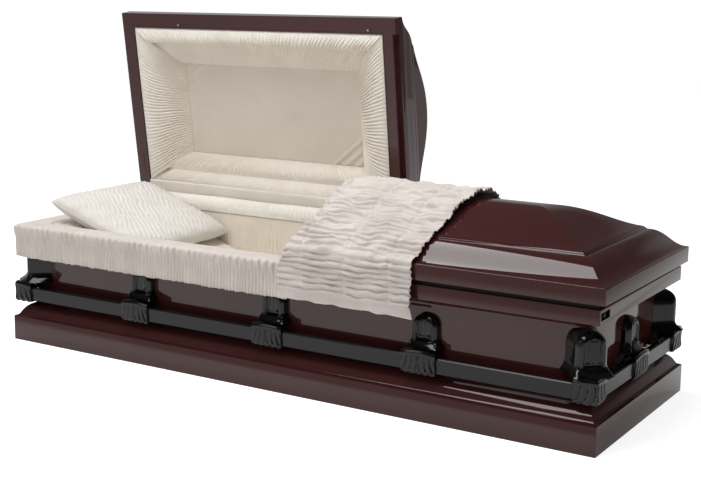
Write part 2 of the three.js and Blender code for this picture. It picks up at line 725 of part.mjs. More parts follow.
add('base_moulding', baseMoulding(), paint);
add('bottom_pan', bottomPan(), steel);
add('body_shell', bodyShell(), paint);
add('lock_pocket', lockPocket(), gloss);
add('lock_plug', lockPlug(), steel);
add('gasket', gasket(), rubber);

add('front_bar', sideBar(-1), satin);
add('rear_bar', sideBar(1), satin);
add('head_end_bar', endBar(-1), satin);
add('foot_end_bar', endBar(1), satin);

[-1, 0, 1].forEach((step, i) => {
  ['front', 'rear'].forEach((wall) => {
    const side = OUT[wall][1];
    const at = place([step * ARM_PITCH, side * WALL_Y], OUT[wall]);
    add(`${wall}_arm_${i + 1}`, arm(at, BAR_Y - WALL_Y + CLASP_PROUD), gloss);
    add(`${wall}_clasp_${i + 1}`, clasp(at, BAR_Y - WALL_Y), gloss);
  });
});
['head', 'foot'].forEach((wall) => {
  const at = place([OUT[wall][0] * WALL_X, 0], OUT[wall]);
  add(`${wall}_end_arm`, arm(at, BAR_X - WALL_X + CLASP_PROUD), gloss);
  add(`${wall}_end_clasp`, clasp(at, BAR_X - WALL_X), gloss);
});
[['head_front', -1, -1], ['foot_front', 1, -1], ['head_rear', -1, 1], ['foot_rear', 1, 1]].forEach(
  ([name, ex, ey]) => {
    add(`${name}_corner_arm`, cornerArm(ex, ey), gloss);
    add(`${name}_corner_clasp`, cornerClasp(ex, ey), gloss);
  });

add('bed', bed(), crepe);
add('front_lining', sideLining(-1), crepe);
add('rear_lining', sideLining(1), crepe);
add('head_end_lining', endLining(-1), crepe);
add('foot_end_lining', endLining(1), crepe);
add('rim_skirt', rimSkirt(), crepe);
add('rear_roll', rearRoll(), crepe);
const cushion = add('pillow', pillow(), crepe);
const pillowX = -OPEN_X + LINING + PILLOW_CLEAR + PILLOW_LONG * Math.cos(PILLOW_TILT);
const bedUnder = BED_TOP + (bedSlope().foot - pillowX) * Math.tan(PILLOW_TILT);
cushion.position.set(pillowX, 0, bedUnder + (PILLOW_THICK + 1) / Math.cos(PILLOW_TILT));
cushion.rotation.y = PILLOW_TILT;

add('head_hinge', hingeBarrel(lidEnd(-1) + HINGE_INSET, SPLIT - HINGE_INSET), steel);
add('foot_hinge', hingeBarrel(SPLIT + HINGE_INSET, lidEnd(1) - HINGE_INSET), steel);

add('foot_lid', footLid(), paint);
add('foot_lid_header', lidHeader(1, SPLIT + SPLIT_GAP), paint);
add('foot_hinge_leaf', hingeLeaf(SPLIT + HINGE_INSET, lidEnd(1) - HINGE_INSET), steel);
add('lid_throw', lidThrow(), crepe);

add('head_lid', headLid(), paint, headLidGroup);
add('head_lid_header', headLidHeader(), paint, headLidGroup);
add('head_hinge_leaf', hingeLeaf(lidEnd(-1) + HINGE_INSET, SPLIT - HINGE_INSET), steel, headLidGroup);
add('stay_plate', stayPlate(), steel, headLidGroup);
add('cap_panel', capPanel(), crepe, headLidGroup);
['front', 'rear', 'head', 'foot'].forEach((edge) => add(`${edge}_puff`, puff(edge), crepe, headLidGroup));
add('latch_peg_1', peg(PEG_HEAD_X), steel, headLidGroup);
add('latch_peg_2', peg(PEG_FOOT_X), steel, headLidGroup);

// The head lid stands open: everything in its group turns about the hinge line
const swing = new THREE.Group();
headLidGroup.position.set(0, -HINGE_Y, -HINGE_Z);
swing.add(headLidGroup);
swing.position.set(0, HINGE_Y, HINGE_Z);
swing.rotation.x = -THREE.MathUtils.degToRad(OPENED);
casket.add(swing);

export default casket;
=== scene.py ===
"""Half-couch sheet steel casket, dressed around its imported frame.

Metres, +Z up, head end at -X, hinge side at +Y. Shapes are surfaces of two parameters worked out
as whole arrays; each function says its formula in words.
"""
import math

import bmesh
import bpy
import numpy as np
from mathutils import Matrix, Vector


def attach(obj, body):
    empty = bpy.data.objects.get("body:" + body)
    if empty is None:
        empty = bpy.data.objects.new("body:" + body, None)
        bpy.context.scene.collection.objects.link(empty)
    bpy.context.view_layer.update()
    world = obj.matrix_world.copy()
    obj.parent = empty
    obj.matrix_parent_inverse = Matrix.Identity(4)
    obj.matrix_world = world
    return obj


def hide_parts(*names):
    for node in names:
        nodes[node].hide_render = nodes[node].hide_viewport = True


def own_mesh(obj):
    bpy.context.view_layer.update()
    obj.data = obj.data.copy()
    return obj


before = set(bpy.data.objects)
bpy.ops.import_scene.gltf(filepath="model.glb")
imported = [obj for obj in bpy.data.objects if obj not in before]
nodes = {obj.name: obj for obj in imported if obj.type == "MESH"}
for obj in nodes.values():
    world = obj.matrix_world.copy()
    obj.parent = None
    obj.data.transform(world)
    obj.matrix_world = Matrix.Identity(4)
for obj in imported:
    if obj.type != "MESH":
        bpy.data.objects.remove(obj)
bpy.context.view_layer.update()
PI = math.pi

# Sizes of the steel work, in metres
STEEL = 0.0012
GAP = 0.0003
EDGE = 0.0022
BASE_X, BASE_Y = 1.055, 0.3535
FASCIA = 0.084
LEDGE = 0.009
BASE_LIP = 0.025
BASE_TOP = 0.128
WALL_X, WALL_Y = 0.999, 0.288
COVE_FOOT, COVE_RISE = 0.324, 0.023
FLANGE_OUT, FLANGE_LOW = 0.044, 0.349
RIM, RIM_IN, RIM_RETURN = 0.391, 0.020, 0.019
LID_HEAD_X, LID_FOOT_X = 1.052, 1.059
LID_Y, LID_LOW, LID_BAND = 0.342, 0.405, 0.046
OGEE_IN, OGEE_TOP = 0.098, 0.509
STEP_IN, STEP_TOP = 0.108, 0.518
CROWN = 0.592
SPLIT, SPLIT_GAP = 0.101, 0.003
OPENED = math.radians(82.2)
HEADER_IN, HEADER_LIP, LIP_DROP, LIP_RISE = 0.051, 0.004, 0.0016, 0.015
BARREL = 0.005
HINGE_Y = LID_Y + BARREL + GAP
HINGE_Z = 0.423
OPEN_X, OPEN_Y = WALL_X - RIM_IN, WALL_Y - RIM_IN
LINING = 0.012
REBATE, REBATE_DEEP = 0.012, 0.022
UNDER = 0.38
LOCK_LONG, LOCK_MARGIN = 0.066, 0.009
PANEL_IN, PANEL_REAR, PANEL_DEEP = 0.197, 0.150, 0.100
BAR_X, BAR_Y, BAR_LOW, BAR_HIGH, BAR_DEEP = 1.043, 0.338, 0.141, 0.046, 0.022
ARM_FOOT = 0.2063

# Sizes of the lining, in metres
LINE_X, LINE_Y = 0.9665, 0.2675
ROLL_WIDE, ROLL_HIGH, RIM_TOP = 0.058, 0.048, 0.3996
BED_LOW, BED_RISE, BED_FLAT, BED_HALF = 0.220, 0.180, 0.084, 0.2525
BED_SLOPE = math.radians(20)
PILLOW_LONG, PILLOW_WIDE = 0.205, 0.248
THROW_HEM, THROW_EDGE = 0.050, 0.500
SKIRT_END = 0.073


# Small tools

def smooth(x, low=0.0, high=1.0):
    """0 below low, 1 above high, with an S-shaped rise between."""
    t = np.clip((np.asarray(x, float) - low) / (high - low), 0, 1)
    return t * t * (3 - 2 * t)


def wander(x, seed, pitch):
    """A smooth random line: cosine-blended random values, one every pitch along x."""
    values = np.random.default_rng(seed).uniform(-1, 1, 4096)
    u = np.asarray(x, float) / pitch + 1000.0
    k = np.floor(u).astype(int)
    t = (1 - np.cos((u - k) * PI)) / 2
    return values[k % 4096] * (1 - t) + values[(k + 1) % 4096] * t


def ridge(phase, sharp=1.6):
    """A fold across its phase, 0 in the valley and 1 on the crest, with narrow valleys."""
    return 1 - (1 - np.abs(np.cos(phase / 2))) ** sharp


def noise2(a, b, seed):
    """A smooth random surface: random values on a lattice of whole a and b, blended with an S-curve."""
    values = np.random.default_rng(seed).uniform(-1, 1, (211, 211))
    a, b = np.broadcast_arrays(np.asarray(a, float), np.asarray(b, float))
    i, j = np.floor(a).astype(int), np.floor(b).astype(int)
    p, q = smooth(a - i), smooth(b - j)
    near = values[i % 211, j % 211] * (1 - q) + values[i % 211, (j + 1) % 211] * q
    far = values[(i + 1) % 211, j % 211] * (1 - q) + values[(i + 1) % 211, (j + 1) % 211] * q
    return near * (1 - p) + far * p


def follow(path, s):
    """Points at share s of a path's length, the way they face (left of the run) and its length."""
    path = np.asarray(path, float)
    at = np.concatenate([[0], np.cumsum(np.linalg.norm(np.diff(path, axis=0), axis=1))])
    d = np.asarray(s, float) * at[-1]
    here, ahead, behind = (np.stack([np.interp(d + e, at, path[:, k]) for k in (0, 1)], -1)
                           for e in (0, 0.003, -0.003))
    run = (ahead - behind) / np.linalg.norm(ahead - behind, axis=-1, keepdims=True)
    return here, np.stack([-run[..., 1], run[..., 0]], -1), at[-1]


def softened(path, sigma, steps=500):
    """A path resampled evenly and averaged over a bell of width sigma, its ends kept."""
    here, _, length = follow(path, np.linspace(0, 1, steps))
    reach = int(3 * sigma / length * steps)
    bell = np.exp(-0.5 * (np.arange(-reach, reach + 1) / (sigma / length * steps)) ** 2)
    bell /= bell.sum()
    ends = np.vstack([2 * here[0] - here[reach:0:-1], here, 2 * here[-1] - here[-2:-reach - 2:-1]])
    return np.stack([np.convolve(ends[:, k], bell, "valid") for k in (0, 1)], -1)


def bezier(a, b, c, d, steps):
    """Points of a cubic curve from a to d, pulled by b and c."""
    t = np.linspace(0, 1, steps + 1)[:, None]
    a, b, c, d = (np.array(p, float) for p in (a, b, c, d))
    return (1 - t) ** 3 * a + 3 * (1 - t) ** 2 * t * b + 3 * (1 - t) * t * t * c + t ** 3 * d


def opened(points):
    """Points given for the closed head lid, turned about the hinge line to where it stands open."""
    p = np.array(points, float)
    y, z = p[..., 1] - HINGE_Y, p[..., 2] - HINGE_Z
    c, s = math.cos(OPENED), math.sin(OPENED)
    p[..., 1], p[..., 2] = HINGE_Y + y * c + z * s, HINGE_Z - y * s + z * c
    return p


def make(name, points, faces, material, body, replaces=()):
    """A mesh object from arrays of points and faces, riding on a body of the frame."""
    mesh = bpy.data.meshes.new(name)
    mesh.from_pydata(np.asarray(points).reshape(-1, 3).tolist(), [], [list(map(int, f)) for f in faces])
    mesh.validate()
    mesh.polygons.foreach_set("use_smooth", [True] * len(mesh.polygons))
    mesh.update()
    piece = bpy.data.objects.new(name, mesh)
    bpy.context.scene.collection.objects.link(piece)
    piece.data.materials.append(material)
    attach(piece, body)
    if replaces:
        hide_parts(*replaces)
    return piece


def net(rows, columns, close_rows=False, close_columns=False):
    """Four-sided faces of a grid of rows by columns, joined up where it closes."""
    i, j = np.meshgrid(np.arange(rows - (not close_rows)), np.arange(columns - (not close_columns)),
                       indexing="ij")
    k, m = (i + 1) % rows, (j + 1) % columns
    return np.stack([i * columns + j, k * columns + j, k * columns + m, i * columns + m], -1).reshape(-1, 4)


def outward(piece):
    """Merges doubled points and turns every face outwards."""
    work = bmesh.new()
    work.from_mesh(piece.data)
    bmesh.ops.remove_doubles(work, verts=work.verts, dist=1e-6)
    bmesh.ops.recalc_face_normals(work, faces=work.faces)
    work.to_mesh(piece.data)
    work.free()
    return piece


# Materials

def material(name):
    """An empty node material and its main shader."""
    m = bpy.data.materials.new(name)
    m.use_nodes = True
    return m, m.node_tree, m.node_tree.nodes["Principled BSDF"]


def node(tree, kind, **values):
    """One shader node with its options and socket values set."""
    made = tree.nodes.new(kind)
    for key, value in values.items():
        if hasattr(made, key):
            setattr(made, key, value)
        else:
            made.inputs[key.replace("_", " ")].default_value = value
    return made


def place(tree, scale=(1, 1, 1)):
    """Object coordinates through a mapping of the given scale."""
    coords = node(tree, "ShaderNodeTexCoord")
    mapping = node(tree, "ShaderNodeMapping")
    mapping.inputs["Scale"].default_value = scale
    tree.links.new(coords.outputs["Object"], mapping.inputs["Vector"])
    return mapping.outputs["Vector"]


def ramp(tree, source, stops):
    """A colour ramp fed by source."""
    made = node(tree, "ShaderNodeValToRGB")
    tree.links.new(source, made.inputs["Fac"])
    elements = made.color_ramp.elements
    while len(elements) < len(stops):
        elements.new(0.5)
    for element, (at, colour) in zip(elements, stops):
        element.position = at
        element.color = (*colour, 1)
    return made.outputs["Color"]


def bumps(tree, shader, layers):
    """Bump nodes in a row: each layer is a height socket, a distance in metres and a strength."""
    last = None
    for height, distance, strength in layers:
        bump = node(tree, "ShaderNodeBump")
        bump.inputs["Distance"].default_value = distance
        bump.inputs["Strength"].default_value = strength
        tree.links.new(height, bump.inputs["Height"])
        if last is not None:
            tree.links.new(last, bump.inputs["Normal"])
        last = bump.outputs["Normal"]
    tree.links.new(last, shader.inputs["Normal"])


def lacquer():
    """Burgundy brown gloss enamel: a slightly uneven dull base under a clear coat with faint ripples."""
    m, tree, shader = material("burgundy_lacquer")
    noise = node(tree, "ShaderNodeTexNoise", Scale=3.0, Detail=3.0)
    tree.links.new(place(tree), noise.inputs["Vector"])
    colour = ramp(tree, noise.outputs["Fac"], [(0.3, (0.050, 0.0125, 0.0122)),
                                               (0.7, (0.058, 0.0150, 0.0143))])
    tree.links.new(colour, shader.inputs["Base Color"])
    shader.inputs["Metallic"].default_value = 0.0
    shader.inputs["Roughness"].default_value = 0.34
    shader.inputs["Specular IOR Level"].default_value = 0.0
    shader.inputs["Coat Weight"].default_value = 1.0
    shader.inputs["Coat Roughness"].default_value = 0.05
    orange_peel = node(tree, "ShaderNodeTexNoise", Scale=220.0, Detail=2.0)
    tree.links.new(place(tree), orange_peel.inputs["Vector"])
    bumps(tree, shader, [(orange_peel.outputs["Fac"], 0.0002, 0.05)])
    return m


def casting():
    """Black gloss casting with faint waviness and a slightly uneven tone."""
    m, tree, shader = material("black_casting")
    noise = node(tree, "ShaderNodeTexNoise", Scale=60.0, Detail=4.0)
    tree.links.new(place(tree), noise.inputs["Vector"])
    colour = ramp(tree, noise.outputs["Fac"], [(0.35, (0.002, 0.0021, 0.0022)),
                                               (0.75, (0.004, 0.0042, 0.0044))])
    tree.links.new(colour, shader.inputs["Base Color"])
    shader.inputs["Roughness"].default_value = 0.12
    shader.inputs["Specular IOR Level"].default_value = 0.42
    bumps(tree, shader, [(noise.outputs["Fac"], 0.0006, 0.12)])
    return m


def bar_metal():
    """Dark grey satin bar, with fine drawn lines along it."""
    m, tree, shader = material("bar_metal")
    lines = node(tree, "ShaderNodeTexNoise", Scale=40.0, Detail=3.0)
    tree.links.new(place(tree, (0.6, 6, 30)), lines.inputs["Vector"])
    colour = ramp(tree, lines.outputs["Fac"], [(0.3, (0.006, 0.0063, 0.0070)),
                                               (0.7, (0.010, 0.0104, 0.0114))])
    tree.links.new(colour, shader.inputs["Base Color"])
    shader.inputs["Roughness"].default_value = 0.22
    shader.inputs["Specular IOR Level"].default_value = 0.36
    bumps(tree, shader, [(lines.outputs["Fac"], 0.0002, 0.12)])
    return m


def crepe(name, light, dark, grain=1.0, stretch=(1, 1, 1), sheen=0.35):
    """Crinkled crepe: a fine uneven weave with short crinkles, a soft sheen and a little colour drift."""
    m, tree, shader = material(name)
    crinkle = node(tree, "ShaderNodeTexNoise", Scale=240.0 * grain, Detail=4.0, Roughness=0.6)
    tree.links.new(place(tree, stretch), crinkle.inputs["Vector"])
    drift = node(tree, "ShaderNodeTexNoise", Scale=9.0, Detail=3.0)
    tree.links.new(place(tree), drift.inputs["Vector"])
    weave = node(tree, "ShaderNodeTexWave", Scale=420.0, Distortion=1.2, Detail=1.0)
    tree.links.new(place(tree), weave.inputs["Vector"])
    colour = ramp(tree, drift.outputs["Fac"], [(0.3, dark), (0.7, light)])
    tree.links.new(colour, shader.inputs["Base Color"])
    shader.inputs["Roughness"].default_value = 0.72
    shader.inputs["Specular IOR Level"].default_value = 0.3
    shader.inputs["Sheen Weight"].default_value = sheen
    shader.inputs["Sheen Roughness"].default_value = 0.4
    shader.inputs["Sheen Tint"].default_value = (1.0, 0.97, 0.92, 1)
    bumps(tree, shader, [(crinkle.outputs["Fac"], 0.0020, 0.55), (weave.outputs["Fac"], 0.0003, 0.12)])
    return m


def plain(name, colour, rough, metal=0.0, grain=90.0):
    """A plain finish with slight mottling."""
    m, tree, shader = material(name)
    noise = node(tree, "ShaderNodeTexNoise", Scale=grain, Detail=3.0)
    tree.links.new(place(tree), noise.inputs["Vector"])
    dark = tuple(c * 0.82 for c in colour)
    mottled = ramp(tree, noise.outputs["Fac"], [(0.3, dark), (0.7, colour)])
    tree.links.new(mottled, shader.inputs["Base Color"])
    shader.inputs["Roughness"].default_value = rough
    shader.inputs["Metallic"].default_value = metal
    bumps(tree, shader, [(noise.outputs["Fac"], 0.0003, 0.1)])
    return m


LACQUER = lacquer()
CASTING = casting()
BAR = bar_metal()
THROW = crepe("throw_crepe", (0.74, 0.675, 0.63), (0.65, 0.59, 0.545))
SKIRT = crepe("skirt_crepe", (0.73, 0.665, 0.615), (0.65, 0.59, 0.54), stretch=(1.5, 1.5, 0.4))
PUFF = crepe("lining_crepe", (0.91, 0.855, 0.77), (0.84, 0.785, 0.70))
WALL_CLOTH = crepe("wall_crepe", (0.86, 0.79, 0.69), (0.78, 0.71, 0.61))
PANEL = crepe("panel_cloth", (0.78, 0.70, 0.615), (0.73, 0.655, 0.575), sheen=0.2)
PILLOW = crepe("pillow_crepe", (0.77, 0.735, 0.69), (0.70, 0.67, 0.625))
ROLL = crepe("roll_crepe", (0.93, 0.89, 0.82), (0.88, 0.84, 0.77), grain=0.7)
SEAL = plain("seal_rubber", (0.012, 0.011, 0.010), 0.75)
BARE = plain("bare_steel", (0.42, 0.42, 0.41), 0.35, 0.9)

# Lacquered sheet work: one profile carried round the casket


def strip(path, thickness):
    """A path and the same path set to its left by one thickness, as a closed strip of [across, up]."""
    path = np.asarray(path, float)
    run = np.diff(path, axis=0)
    normal = np.stack([-run[:, 1], run[:, 0]], -1) / np.linalg.norm(run, axis=1)[:, None]
    before = np.vstack([normal[:1], normal])
    after = np.vstack([normal, normal[-1:]])
    reach = thickness / (1 + (before * after).sum(1))
    return np.vstack([path, (path + (before + after) * reach[:, None])[::-1]])


def ring_points(x0, x1, y0, y1, z, radius, steps=5):
    """Level rectangle with round corners; every input may be an array, one ring each. The corners turn
    through quarter circles of the given radius."""
    turn = np.linspace(0, PI / 2, steps)
    x0, x1, y0, y1, z, radius = np.broadcast_arrays(
        *(np.asarray(v, float) for v in (x0, x1, y0, y1, z, radius)))
    parts = []
    for k, (ex, ey) in enumerate(((x1, y1), (x0, y1), (x0, y0), (x1, y0))):
        a = turn + k * PI / 2
        cx = ex + (-radius if k in (0, 3) else radius)
        cy = ey + (-radius if k in (0, 1) else radius)
        parts.append(np.stack([cx[:, None] + radius[:, None] * np.cos(a),
                               cy[:, None] + radius[:, None] * np.sin(a),
                               np.repeat(z[:, None], steps, 1)], -1))
    return np.concatenate(parts, 1)


def loop(name, rings, mat, body, closed=True, sharp=28, replaces=()):
    """Rings of points joined side by side; an open stack is closed with a face at each end."""
    rows, columns = rings.shape[:2]
    faces = net(rows, columns, close_rows=closed, close_columns=True).tolist()
    if not closed:
        faces.append(list(range(columns)))
        faces.append(list(range((rows - 1) * columns, rows * columns))[::-1])
    piece = make(name, rings, faces, mat, body, replaces=replaces)
    outward(piece)
    piece.data.set_sharp_from_angle(angle=math.radians(sharp))
    return piece


def lid_path(fine=26):
    """Lid section as [inset, height]: band, rolled edge, ogee, double step and low crown."""
    return np.vstack([
        [[0, LID_LOW], [0, LID_LOW + LID_BAND - EDGE], [0.0006, LID_LOW + LID_BAND - 0.0008]],
        bezier([0.0015, LID_LOW + LID_BAND], [0.42 * OGEE_IN, 0.455], [0.52 * OGEE_IN, OGEE_TOP - 0.004],
               [OGEE_IN - 0.001, OGEE_TOP], fine),
        [[OGEE_IN + 0.001, OGEE_TOP + 0.003], [OGEE_IN + 0.004, OGEE_TOP + 0.004],
         [OGEE_IN + 0.006, OGEE_TOP + 0.0075]],
        bezier([STEP_IN, STEP_TOP], [STEP_IN + 0.072, STEP_TOP + 0.018], [STEP_IN + 0.127, CROWN],
               [LID_Y - 0.001, CROWN], fine),
    ])


def lid_rings(side, split, path, low):
    """The lid's section as level rectangles, hipped at the casket's end and square at the split."""
    t, z = path[:, 0], path[:, 1].copy()
    z[0] = low
    end = side * ((LID_HEAD_X if side < 0 else LID_FOOT_X) - t)
    r = np.minimum(EDGE, 0.45 * (LID_Y - t))
    return ring_points(np.minimum(end, split), np.maximum(end, split), t - LID_Y, LID_Y - t, z, r)


def lump(name, points, faces):
    """A plain mesh object for carving."""
    mesh = bpy.data.meshes.new(name)
    mesh.from_pydata(points.reshape(-1, 3).tolist(), [], faces)
    made = bpy.data.objects.new(name, mesh)
    bpy.context.scene.collection.objects.link(made)
    return made


def solid(name, rings):
    """A closed stack of rings as a mesh object for carving."""
    rows, columns = rings.shape[:2]
    faces = net(rows, columns, close_columns=True).tolist()
    faces += [list(range(columns)), list(range((rows - 1) * columns, rows * columns))[::-1]]
    return outward(lump(name, rings, faces))


def tube(name, rings):
    """Rings joined side by side and the last one to the first, as a mesh object for carving."""
    return outward(lump(name, rings, net(*rings.shape[:2], True, True).tolist()))


def crate(name, low, high):
    """A box between two corners, for carving."""
    return solid(name, ring_points([low[0]] * 2, [high[0]] * 2, [low[1]] * 2, [high[1]] * 2,
                                   [low[2], high[2]], [1e-5] * 2, 2))


def carve(body, *tools):
    """Takes tools away from a body and returns the points and faces of what is left."""
    for tool in tools:
        cut = body.modifiers.new("cut", "BOOLEAN")
        cut.operation = "DIFFERENCE"
        cut.solver = "EXACT"
        cut.object = tool
    held = body.evaluated_get(bpy.context.evaluated_depsgraph_get()).to_mesh()
    points = np.array([v.co for v in held.vertices])
    faces = [list(p.vertices) for p in held.polygons]
    for tool in (*tools, body):
        bpy.data.objects.remove(tool)
    return points, faces


def sheet_lid(name, side, split, body):
    """Lid shell: the section swept outside, less the same section set in by the sheet, and at the
    head lid's meeting edge less the rebate."""
    path = lid_path()
    inner = strip(path, -STEEL)[len(path):][::-1]
    outside = solid("outside", lid_rings(side, split, path, LID_LOW))
    inside = solid("inside", lid_rings(side, split + side * STEEL, inner, LID_LOW - 0.004))
    if side < 0:
        y = LID_Y - HEADER_IN
        kept = crate("kept", (SPLIT - REBATE - STEEL, -y - STEEL, UNDER),
                     (SPLIT + 0.01, y + STEEL, LID_LOW + REBATE_DEEP + STEEL))
        hollow = lump("inside", *carve(inside, kept))
        rebate = crate("rebate", (SPLIT - REBATE, -y, UNDER), (SPLIT + 0.01, y, LID_LOW + REBATE_DEEP))
        points, faces = carve(outside, hollow, rebate)
        points = opened(points)
    else:
        points, faces = carve(outside, inside)
    piece = make(name + "_shell", points, faces, LACQUER, body, replaces=[name])
    outward(piece).data.set_sharp_from_angle(angle=math.radians(24))


def header(name, side, split, body):
    """Flat frame under a lid with a lip round its opening; the head lid's stops at the rebate."""
    foot, top = STEEL + GAP, LID_LOW
    section = np.array([
        [foot, top], [HEADER_IN - HEADER_LIP, top], [HEADER_IN - HEADER_LIP + 0.0004, top - LIP_DROP * 0.7],
        [HEADER_IN - HEADER_LIP * 0.75, top - LIP_DROP], [HEADER_IN - 0.001, top - LIP_DROP],
        [HEADER_IN, top - LIP_DROP + 0.001], [HEADER_IN, top + LIP_RISE],
        [HEADER_IN - STEEL, top + LIP_RISE],
        [HEADER_IN - STEEL, top + STEEL], [foot, top + STEEL]])
    t, z = section.T
    end = side * ((LID_HEAD_X if side < 0 else LID_FOOT_X) - t)
    cut = split + side * t
    rings = ring_points(np.minimum(end, cut), np.maximum(end, cut), t - LID_Y, LID_Y - t, z, 0.0015 + 0 * t)
    if side < 0:
        grow = STEEL + GAP
        y = LID_Y - HEADER_IN + grow
        points, faces = carve(tube("frame", rings), crate(
            "rebate", (SPLIT - REBATE - grow, -y, UNDER), (SPLIT + 0.01, y, LID_LOW + REBATE_DEEP + grow)))
        piece = make(name + "_frame", opened(points), faces, LACQUER, body, replaces=[name])
        outward(piece).data.set_sharp_from_angle(angle=math.radians(28))
    else:
        loop(name + "_frame", rings, LACQUER, body, replaces=[name])


def body_walls():
    """Walls, quarter-round cove, flange, rolled rim and its return, less the lock's hole in the flange."""
    a = np.linspace(0, PI / 2, 14)
    path = np.vstack([
        [[0, STEEL + GAP]],
        np.stack([(FLANGE_OUT - 0.004) * (1 - np.cos(a)), COVE_FOOT + COVE_RISE * np.sin(a)], -1),
        [[FLANGE_OUT, FLANGE_LOW], [FLANGE_OUT, RIM - 0.002], [FLANGE_OUT - 0.0006, RIM - 0.0006],
         [FLANGE_OUT - 0.002, RIM], [-RIM_IN, RIM], [-RIM_IN, RIM - RIM_RETURN]]])
    section = strip(path, STEEL)
    hx, hy = WALL_X + section[:, 0], WALL_Y + section[:, 0]
    rings = ring_points(-hx, hx, -hy, hy, section[:, 1], EDGE)
    y0 = -(WALL_Y + FLANGE_OUT) + 0.006
    hole = crate("hole", (WALL_X + FLANGE_OUT - 0.006, y0 - GAP, FLANGE_LOW + LOCK_MARGIN - GAP),
                 (WALL_X + FLANGE_OUT + 0.006, y0 + LOCK_LONG + GAP, RIM - LOCK_MARGIN + GAP))
    points, faces = carve(tube("walls", rings), hole)
    piece = make("body_walls", points, faces, LACQUER, "root", replaces=["body_shell"])
    outward(piece).data.set_sharp_from_angle(angle=math.radians(24))


def base_moulding():
    """Return lip, fascia, ledge and ogee swept round the rectangle; the inset is stretched along X so
    that all four sides meet the walls."""
    run = BASE_Y - WALL_Y - STEEL
    path = np.vstack([
        [[BASE_LIP, 0], [0.0006, 0], [0, 0.0006], [0, FASCIA - EDGE], [0.0007, FASCIA - 0.0006],
         [EDGE, FASCIA], [LEDGE, FASCIA + 0.0015]],
        bezier([LEDGE + 0.003, FASCIA + 0.003], [LEDGE + 0.012, FASCIA + 0.008],
               [LEDGE + 0.014, BASE_TOP - 0.010],
               [run, BASE_TOP], 22)])
    section = strip(path, -STEEL)
    share = section[:, 0] / run
    hx = BASE_X - share * (BASE_X - WALL_X - STEEL)
    hy = BASE_Y - share * run
    rings = ring_points(-hx, hx, -hy, hy, section[:, 1], EDGE)
    return loop("base_shell", rings, LACQUER, "root", replaces=["base_moulding"])


# Castings

def placed(origin, out, u, n, z):
    """Points given along a wall, out from it and up, set at their place on the body."""
    return np.stack([origin[0] + out[0] * n - out[1] * u,
                     origin[1] + out[1] * n + out[0] * u, z + 0 * u], -1)


def arm(origin, out, half, deep, reach, rise, back):
    """Bell-shaped arm as level slices. Width follows the arch and the flared foot; the front is a
    rounded lobe with a raised rim round a sunk arched panel that ripples up and down and is deeper
    at its foot; a scroll stands at each lower corner."""
    a = np.linspace(-1, 1, 61)[None]
    v = np.linspace(0, 1, 64)[:, None]
    up = v * (rise - 0.0006)
    fall = rise - up
    arch = np.clip(fall / half, 0, 1)
    flare = 0.017 * np.clip(1 - up / 0.034, 0, None) ** 2
    width = half * np.sqrt(np.maximum(0.01, 1 - (1 - arch) ** 2)) + flare
    hood = np.sqrt(np.maximum(0.02, 1 - (1 - np.clip(fall / 0.030, 0, 1)) ** 2))
    sweep = (reach - deep) * np.clip(1 - up / 0.026, 0, None) ** 2
    face = (deep * hood + sweep) * (1 - np.abs(a) ** 3.2) ** (1 / 3.2)
    tall = np.clip((up - (rise - 0.018 - 0.5 * half)) / (0.5 * half), 0, 1)
    inside = smooth(0.64 - np.sqrt(a ** 2 + 0.38 * tall ** 2.2), 0, 0.14) * smooth(up, 0.016, 0.030)
    ripple = 0.0007 * np.cos(a * 17 + 0.8 * np.sin(up * 90)) + 0.0005 * np.cos(a * 9 + up * 60)
    lower = smooth(0.044 - up, 0, 0.022)
    rim = 0.0016 * np.exp(-((np.abs(a) - 0.70) / 0.07) ** 2) * smooth(up, 0.01, 0.03) * hood
    scroll = 0.006 * np.exp(-((np.abs(a) - 0.86) / 0.10) ** 2 - ((up - 0.009) / 0.007) ** 2)
    face = face - inside * (0.0055 + 0.004 * lower - ripple * (1 - lower)) + rim + scroll + GAP
    u = a * width
    n = np.maximum(face, GAP)
    u = np.concatenate([-width, u, width], 1)
    n = np.concatenate([np.full_like(up, back), n, np.full_like(up, back)], 1)
    return placed(origin, out, u, n, ARM_FOOT + up + 0 * u)


def leaf_face(share, rise):
    """Relief of the clasp: five overlapping leaves that fan out downwards, each with a crisp upper edge
    and a hollow midrib, under a smooth arched band."""
    spread = 0.62 + 0.38 * (1 - rise)
    turn = share / spread * 2.5 + 0.32 * np.sign(share) * np.sin(PI * rise)
    part = turn - np.floor(turn + 0.5)
    leaf = np.sqrt(np.maximum(0, 1 - (2 * np.abs(part)) ** 2.4))
    rib = np.exp(-(part / 0.07) ** 2)
    ends = smooth(rise, -0.02, 0.14)
    leaves = 0.0052 * leaf * ends - 0.0012 * rib * ends
    band = smooth(rise + 0.10 * share ** 2, 0.80, 0.84)
    return leaves * (1 - band) + (0.0050 - 0.0035 * smooth(rise, 0.88, 1.0)) * band


def clasp_rings(shares, outer):
    """Sections of a clasp round the bar: a flat back, rounded top and foot, and the leaf face; the
    foot is scalloped by the leaves."""
    s = shares[:, None]
    low = BAR_LOW - 0.007 + 0.003 * np.abs(np.sin(2.5 * PI * s))
    high = BAR_LOW + BAR_HIGH + 0.018 - 0.006 * s ** 2
    rise = np.linspace(0, 1, 34)[None]
    n = outer + 0.004 + leaf_face(s, rise) - 0.002 * np.abs(s) ** 4
    z = low + rise * (high - low)
    one = np.ones_like(s)
    back, middle = outer - BAR_DEEP - 0.004, outer - BAR_DEEP / 2
    n = np.concatenate([back * one, middle * one, n, middle * one, back * one], 1)
    z = np.concatenate([low + 0.003, low, z, high + 0.001, high - 0.006], 1)
    return n, z


